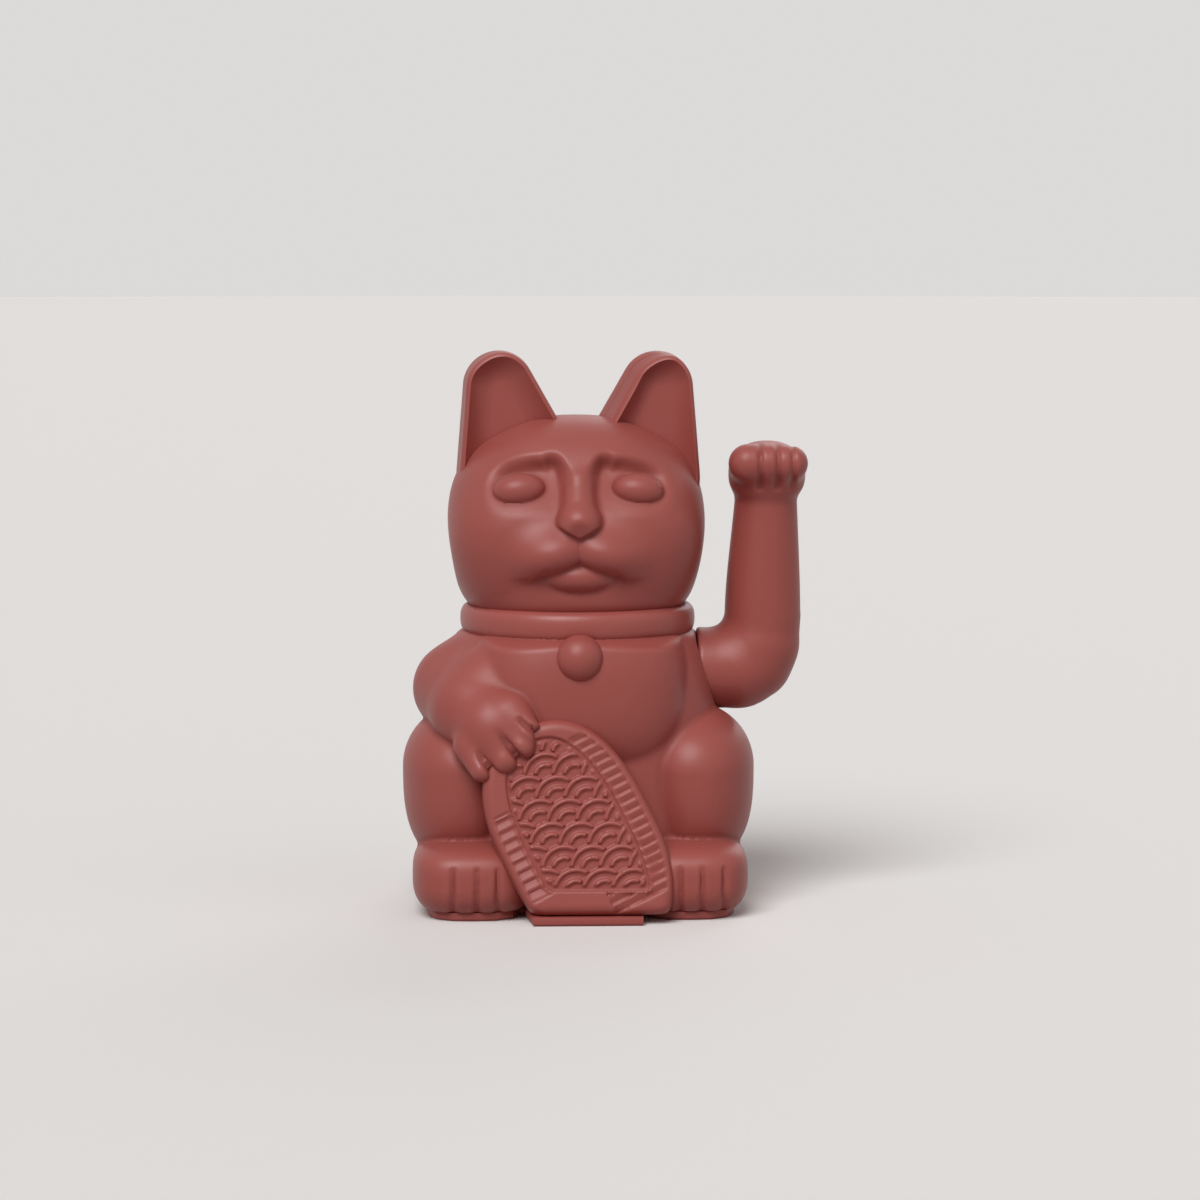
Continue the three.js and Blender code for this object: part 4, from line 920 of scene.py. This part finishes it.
def tongue_of(solid):
    """A thin slice of a hollow solid at the seam, drawn in from its surface."""
    slab = box(-REACH, REACH, TONGUE_FRONT, TONGUE_REAR, 0, TOP_Z)
    tongue = triangulated(combine(copied(solid, "tongue"), [slab], "INTERSECT"))
    normal = values_of(tongue, "normal") * (1, 0, 1)
    length = np.sqrt((normal * normal).sum(1))[:, None]
    outward = np.where(length > 0.2, normal / np.maximum(length, 1e-6), 0)
    return moved(tongue, values_of(tongue) - TONGUE_INSET * MM * outward)


# %% Cut the pieces
def cut_pieces(solid, pieces, x0, body):
    """Cuts front and rear pieces from a hollow solid, and adds the tongue to the rear ones."""
    tongue = tongue_of(solid)
    for name, z0, z1, node in pieces:
        y0, y1 = (-REACH, -SEAM) if name.endswith("front") else (SEAM, REACH)
        piece = combine(copied(solid, name), [box(x0, REACH, y0, y1, z0, z1)], "INTERSECT")
        if name.endswith("rear"):
            part = combine(copied(tongue, "part"), [box(-REACH, REACH, -2, 2, z0, z1)], "INTERSECT")
            combine(triangulated(piece), [triangulated(part)], "UNION")
        mark_creases(piece)
        smooth_shaded(piece)
        wear(piece, plastic)
        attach(piece, body)
        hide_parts(node)
        print(name, len(piece.data.polygons), "faces")
    bpy.data.objects.remove(solid)
    bpy.data.objects.remove(tongue)


cut_pieces(body, (("body_front", FOOT_Z, NECK_Z, "front_shell"),
                  ("body_rear", FOOT_Z, NECK_Z, "rear_shell"),
                  ("head_front", NECK_Z, TOP_Z, "front_shell"),
                  ("head_rear", NECK_Z, TOP_Z, "rear_shell")), -REACH, "figure")

# %% [markdown]
# ## The waving arm
#
# The arm leaves its socket sideways, turns up in a tight elbow and ends in a paw whose four
# fingers bend forward. It is two half shells as well, on the axle's own body.

# %% Arm field and skin
PAW = np.array([51.2, -3.9, 116.8])
PAW_LINES = (48.6, 53.3, 57.4)


def arm_field(p):
    x, y, z = p.T
    root = blend(rod(p, (30, 0, PIVOT_Z), (43.2, 0, 63.4), 11.1, 10.9),
                 rod(p, (43.2, 0, 63.4), (47.6, 0, 65.6), 10.9, 9.9), 0.6)
    elbow = blend(rod(p, (47.6, 0, 65.6), (50.1, -0.2, 71.0), 9.9, 10.3),
                  rod(p, (50.1, -0.2, 71.0), (50.5, -0.2, 78.0), 10.3, 10.35), 0.5)
    narrow = fade((z - 76) / 46)
    fore = np.hypot(x - 50.45 - 0.8 * narrow, y + 0.2 + 2.0 * narrow) - 10.35 + 2.3 * narrow
    fore = carve(fore, np.minimum(z - 77, 116 - z), 0.3)
    d = np.minimum(blend(root, elbow, 5), fore)
    paw = blend(bulb(p, PAW, 10.4, 8.6, 2.3, 8.9, 2.2, 8.2, 2.5),
                rod(p, (45.5, -11.2, 120.0), (56.9, -11.2, 120.0), 5.2, 4.8), 3)
    for line_x in PAW_LINES:
        line = groove(x, z, (line_x, 126.0), (line_x, 113.5), 1.1, 1.6)
        paw = paw + 0.8 * line * fade((-7 - y) / 7)
    d = blend(d, paw, 1.6)
    return carve(d, x - 32.5, 0.8)


bm = bmesh.new()
add_rod(bm, (43, 0, PIVOT_Z), (46, 0, 65), 10.9, 10)
add_rod(bm, (50.1, 0, 70), (50.5, -0.6, 82), 10, 9.9)
add_rod(bm, (50.5, -0.6, 82), (51, -2, 112), 9.9, 8.5)
add_ball(bm, PAW, (10.3, 9.6, 7.4))
add_rod(bm, (45.6, -11.4, 120), (56.9, -11.4, 120), 5.2, 4.8)
arm = object_from("arm_rough", bm)
combine(arm, [cylinder(11, (32.8, 0, PIVOT_Z), (44, 0, PIVOT_Z))], "UNION")
bm = bmesh.new()
bm.from_mesh(arm.data)
bpy.data.objects.remove(arm)
arm = skin("arm", bm, arm_field, 0.5)

# %% Hollow and cut the arm
combine(arm, [cylinder(9.0, (34.7, 0, PIVOT_Z), (47, 0, PIVOT_Z)),
              cylinder(7.8, (50.2, 0, 64.5), (50.5, -0.5, 84)),
              cylinder(7.8, (50.5, -0.5, 80), (51, -1.8, 110), top_radius=6.6),
              cylinder(1.8, (20, 0, PIVOT_Z), (40, 0, PIVOT_Z))])
cut_pieces(arm, (("arm_front", 0, TOP_Z, "arm_front_shell"),
                 ("arm_rear", 0, TOP_Z, "arm_rear_shell")), 0, "arm")

# %% [markdown]
# ## Finer copies of the plain parts
#
# The base and the movement have the right shapes in the frame already, with corners as sharp
# as a drawing's. A real moulding or stamping has a small radius there, which catches the light.
# So each part is copied, its loose triangles are merged into whole faces, and bmesh bevels its
# edges. The copy rides on the body of the part and takes its place.

# %% Helper for finer copies
bodies = frame["record"]["behaviour"]["bodies"]
body_of = {node: name for name, nodes in bodies.items() for node in nodes}


def stands_for(piece, node, paint):
    """Dresses a piece and gives it the place of a CAD part."""
    wear(piece, paint)
    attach(piece, body_of[node])
    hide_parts(node)


def finer(node, width, paint, corner=35):
    """A copy of a CAD part with its edges rounded by width millimetres."""
    bm = bmesh.new()
    bm.from_mesh(frame["nodes"][node].data)
    bmesh.ops.remove_doubles(bm, verts=bm.verts, dist=0.004 * MM)
    bmesh.ops.dissolve_limit(bm, angle_limit=math.radians(0.5), verts=bm.verts, edges=bm.edges)
    limit = math.radians(corner)
    sharp = [e for e in bm.edges if len(e.link_faces) == 2 and e.calc_face_angle() > limit]
    bmesh.ops.bevel(bm, geom=sharp, offset=width * MM, segments=2, profile=0.5, affect="EDGES",
                    material=-1, clamp_overlap=True)
    bmesh.ops.triangulate(bm, faces=bm.faces)
    loose = sum(len(e.link_faces) != 2 for e in bm.edges)
    piece = smooth_shaded(object_from(node + "_finer", bm), 30)
    stands_for(piece, node, paint)
    print(node, len(piece.data.polygons), "faces,", loose, "open edges")


def finer_all(paint, **widths):
    for node, width in widths.items():
        finer(node, width, paint)


# %% [markdown]
# ## Base plate and battery door
#
# Both are moulded in the same rose plastic. They have no skin of their own to measure, so their
# plastic takes only the flow, the flecks and the fine grain.

# %% Base plate and door
rose_plain = moulded_plastic("rose_plastic_plain", skin=False)
finer_all(rose_plain, base_plate=0.25, battery_door=0.2)

# %% [markdown]
# ## Metals
#
# Steel screws, pins and strips are drawn or rolled, so fine lines run along them and they shine
# unevenly. The sintered bronze of the bushes is dull and speckled, and the nickel on the magnet
# is bright with faint clouds. All are the same idea with other numbers: a stretched noise for
# the lines, a soft one for the clouds, and both move the roughness more than the colour.

# %% Metals
def metal(name, dark, pale, shine, stretch=(1, 1, 14), size=260.0):
    paint = Paint(name, Metallic=1.0)
    lines = paint.noise(paint.place(scale=stretch), size, 3.0)
    clouds = paint.noise(paint.place(), 120.0, 2.0)
    rough = (shine + (lines - 0.5) * 0.22 + (clouds - 0.5) * 0.18).clamped()
    colour = paint.mix((clouds * 0.7 + lines * 0.3).clamped(), dark, pale)
    paint.set(Base_Color=colour, Roughness=rough, Normal=paint.bump(lines, 0.00003, 0.5))
    return paint


steel = metal("steel", (0.43, 0.44, 0.46, 1), (0.66, 0.67, 0.69, 1), 0.34)
nickel = metal("nickel", (0.58, 0.55, 0.50, 1), (0.75, 0.73, 0.69, 1), 0.2, stretch=(1, 1, 1))
bronze = metal("bronze", (0.33, 0.18, 0.07, 1), (0.62, 0.40, 0.18, 1), 0.5, stretch=(1, 1, 1),
               size=1500.0)
finer_all(steel, pivot_axle=0.2, axle_clip=0.06, pendulum_weight=0.4, contact_plate=0.08)
finer_all(nickel, drive_magnet=0.2)
finer_all(bronze, bush_inner=0.15, bush_outer=0.15)

# %% [markdown]
# ## Screws
#
# Each screw is turned: a half outline with its thread is spun round the axis, and the cross
# recess is cut into the head with two thin boxes. The four in the base have their heads below.

# %% Screws
def screw(node, head, height, shank, pitch, upside_down=False):
    """A screw where the frame has it, by its head's radius and height, shank radius and pitch."""
    low, high = (Vector(corner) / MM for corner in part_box(node))
    x, y, length = (low.x + high.x) / 2, (low.y + high.y) / 2, high.z - low.z
    outline = [(0, 0), (shank * 0.25, 0.15), (shank * 0.8, 1.4)]
    z = 1.5
    while z < length - height - pitch:
        outline += [(shank, z), (shank * 0.8, z + pitch * 0.45), (shank * 0.8, z + pitch * 0.55)]
        z += pitch
    outline += [(shank * 0.9, length - height), (head * 0.97, length - height),
                (head, length - height * 0.7), (head * 0.93, length - height * 0.25),
                (head * 0.7, length), (0, length)]
    bm = bmesh.new()
    points = [bm.verts.new(Vector((radius, 0, z)) * MM) for radius, z in outline]
    lines = [bm.edges.new(pair) for pair in zip(points, points[1:])]
    bmesh.ops.spin(bm, geom=points + lines, axis=(0, 0, 1), cent=(0, 0, 0), angle=2 * math.pi,
                   steps=40, use_merge=True)
    bmesh.ops.remove_doubles(bm, verts=bm.verts, dist=0.001 * MM)
    bmesh.ops.recalc_face_normals(bm, faces=bm.faces)
    piece = object_from(node + "_turned", bm)
    arm, half, deep = head * 0.56, head * 0.11, length - height * 0.6
    combine(piece, [box(-arm, arm, -half, half, deep, length + 1),
                    box(-half, half, -arm, arm, deep, length + 1)])
    turn = Matrix.Rotation(math.pi, 4, "X") if upside_down else Matrix()
    place = Matrix.Translation(Vector((x, y, high.z if upside_down else low.z)) * MM)
    piece.data.transform(place @ turn @ Matrix.Rotation(math.radians(7 * x), 4, "Z"))
    smooth_shaded(piece, 30)
    stands_for(piece, node, steel)
    print(node, len(piece.data.polygons), "faces")


for number in (1, 2, 3, 4):
    screw(f"base_screw_{number}", head=2.8, height=1.3, shank=1.3, pitch=0.9, upside_down=True)
for number in (1, 2):
    for kind in ("board", "frame"):
        screw(f"{kind}_screw_{number}", head=1.9, height=1.2, shank=0.9, pitch=0.7)

# %% [markdown]
# ## Nylon and black plastic
#
# The lever, the frame and the hub are moulded in off-white nylon, which is waxy and lets a
# little light in. The switch, the bobbin and the transistor are black. The same moulded plastic
# gives both, with other colours and a coarser or finer grain.

# %% Nylon and black plastic
nylon = moulded_plastic("white_nylon", False, 1.3, (0.62, 0.59, 0.50, 1), (0.74, 0.71, 0.63, 1))
nylon.set(Subsurface_Weight=0.12, Subsurface_Scale=0.0008)
black = moulded_plastic("black_plastic", False, 1.6, (0.014, 0.015, 0.016, 1),
                        (0.030, 0.031, 0.034, 1))
finer_all(nylon, arm_hub=0.25, pivot_frame=0.2, pendulum_lever=0.2)
finer_all(black, switch_body=0.25, switch_slider=0.15, coil_bobbin=0.1, transistor=0.15)

# %% [markdown]
# ## Cell and capacitor
#
# Both are metal cans in a printed or shrunk jacket. A colour ramp along the axis changes from
# bare metal to jacket and back, in hard steps, and a second one with the same steps sets where
# the surface is metal. The jacket is plain: no lettering.

# %% Cell and capacitor
def can(name, node, axis, steps):
    """A jacket over a metal can. Each step is a place from 0 to 1, a colour and its metal share."""
    low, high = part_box(node)
    paint = Paint(name, Coat_Roughness=0.2)
    where = paint.place()
    far = paint.along(where, axis, low["XYZ".index(axis)], high["XYZ".index(axis)])
    clouds = paint.noise(where, 160.0, 3.0)
    colour = paint.ramp(far, [(place, (*shade, 1)) for place, shade, _ in steps])
    bare = paint.ramp(far, [(place, (share, share, share, 1)) for place, _, share in steps])
    paint.set(Base_Color=paint.mix((clouds * 0.3).clamped(), colour, (0.30, 0.30, 0.30, 1)),
              Metallic=bare, Roughness=(0.27 + (clouds - 0.5) * 0.2).clamped(),
              Normal=paint.bump(clouds, 0.00004, 0.4))
    return paint


STEEL, JACKET, BAND = (0.6, 0.6, 0.62), (0.022, 0.024, 0.028), (0.50, 0.24, 0.08)
cell_paint = can("cell_jacket", "battery_cell", "X",
                 [(0.0, STEEL, 1), (0.014, JACKET, 0), (0.70, BAND, 0.6), (0.965, STEEL, 1)])
finer("battery_cell", 0.3, cell_paint, corner=30)
RUBBER, SLEEVE = (0.3, 0.3, 0.3), (0.018, 0.022, 0.035)
sleeve_paint = can("capacitor_sleeve", "capacitor", "Z",
                   [(0.0, RUBBER, 0), (0.02, SLEEVE, 0), (0.965, STEEL, 1)])
finer("capacitor", 0.35, sleeve_paint)

# %% [markdown]
# ## Board, coil and resistor
#
# The board is green solder mask over copper traces: the mask is glossy, and the traces show
# as paler, slightly raised lines, which a brick pattern draws well enough. The coil is enamelled
# wire wound in rings, so a wave across its axis is its bump, and its colour: the copper darkens
# into a painted shade in the grooves between the turns. The resistor's colour bands are a ramp
# along its axis.

# %% Board, coil and resistor
board = Paint("solder_mask", Coat_Weight=0.5, Coat_Roughness=0.12, Roughness=0.35)
spot = board.place()
traces = board.node("ShaderNodeTexBrick", {"offset": 0.37, "squash": 1.6, "squash_frequency": 3},
                    {"Vector": spot, "Scale": 210.0, "Mortar Size": 0.09, "Mortar Smooth": 0.2,
                     "Color1": (0, 0, 0, 1), "Color2": (0, 0, 0, 1), "Mortar": (1, 1, 1, 1)}, "Fac")
weave = board.noise(spot, 1400.0, 1.0)
board.set(Base_Color=board.mix((traces * 0.8 + weave * 0.15).clamped(), (0.016, 0.105, 0.040, 1),
                               (0.050, 0.235, 0.095, 1)),
          Normal=board.bump(traces * 0.7 + weave * 0.3, 0.00006, 0.7))
finer("circuit_board", 0.1, board)

copper = Paint("enamelled_copper", Metallic=0.85, Coat_Weight=0.7, Coat_Roughness=0.1)
spot = copper.place()
rings = copper.node("ShaderNodeTexWave", {"wave_type": "BANDS", "bands_direction": "Z"},
                    {"Vector": spot, "Scale": 1250.0, "Distortion": 0.6, "Detail": 1.0})
# Painted shade: the colour darkens in the grooves between the turns
copper.set(Base_Color=copper.mix(rings, (0.23, 0.055, 0.018, 1), (0.62, 0.22, 0.08, 1)),
           Roughness=(0.42 - rings * 0.2).clamped(), Normal=copper.bump(rings, 0.0001, 0.9))

lacquer = Paint("resistor_lacquer", Coat_Weight=0.6, Coat_Roughness=0.15)
low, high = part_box("resistor")
spot = lacquer.place()
WIRE, BEIGE, BROWN = (0.6, 0.6, 0.6, 1), (0.58, 0.44, 0.25, 1), (0.16, 0.05, 0.02, 1)
BLACK, ORANGE, GOLD = (0.01, 0.01, 0.01, 1), (0.62, 0.16, 0.02, 1), (0.45, 0.28, 0.06, 1)
bands = [(0.0, WIRE), (0.17, BEIGE), (0.27, BROWN), (0.33, BEIGE), (0.40, BLACK), (0.46, BEIGE),
         (0.53, ORANGE), (0.59, BEIGE), (0.70, GOLD), (0.76, BEIGE), (0.83, WIRE)]
mottle = lacquer.noise(spot, 700.0)
banded = lacquer.ramp(lacquer.along(spot, "X", low[0], high[0]), bands)
lacquer.set(Base_Color=lacquer.mix((mottle * 0.2).clamped(), banded, (0.25, 0.18, 0.10, 1)),
            Roughness=(0.3 + mottle * 0.15).clamped(), Normal=lacquer.bump(mottle, 0.00005, 0.5))
for node, paint in (("drive_coil", copper), ("resistor", lacquer)):
    wear(frame["nodes"][node], paint)

# %% [markdown]
# ## Wires and the contact spring
#
# The wires keep their shape from the frame: soft plastic insulation, a little glossy, with the
# marks of the tool that bent it. The spring stays as it is wound and takes the steel.

# %% Wires and the contact spring
def insulation(name, dark, pale):
    paint = Paint(name, IOR=1.5)
    spot = paint.place()
    marks = paint.noise(spot, 520.0, 3.0)
    soft = paint.noise(spot, 90.0)
    paint.set(Base_Color=paint.mix((marks * 0.6 + soft * 0.4).clamped(), dark, pale),
              Roughness=(0.34 + (marks - 0.5) * 0.25).clamped(),
              Normal=paint.bump(marks, 0.00005, 0.6))
    return paint


wires = {"lead_red": insulation("wire_red", (0.36, 0.018, 0.014, 1), (0.52, 0.042, 0.032, 1)),
         "lead_black": insulation("wire_black", (0.010, 0.010, 0.012, 1), (0.026, 0.026, 0.03, 1)),
         "lead_white": insulation("wire_white", (0.62, 0.60, 0.53, 1), (0.76, 0.74, 0.69, 1)),
         "contact_spring": steel}
for node, paint in wires.items():
    wear(frame["nodes"][node], paint)
print("wires:", list(wires))
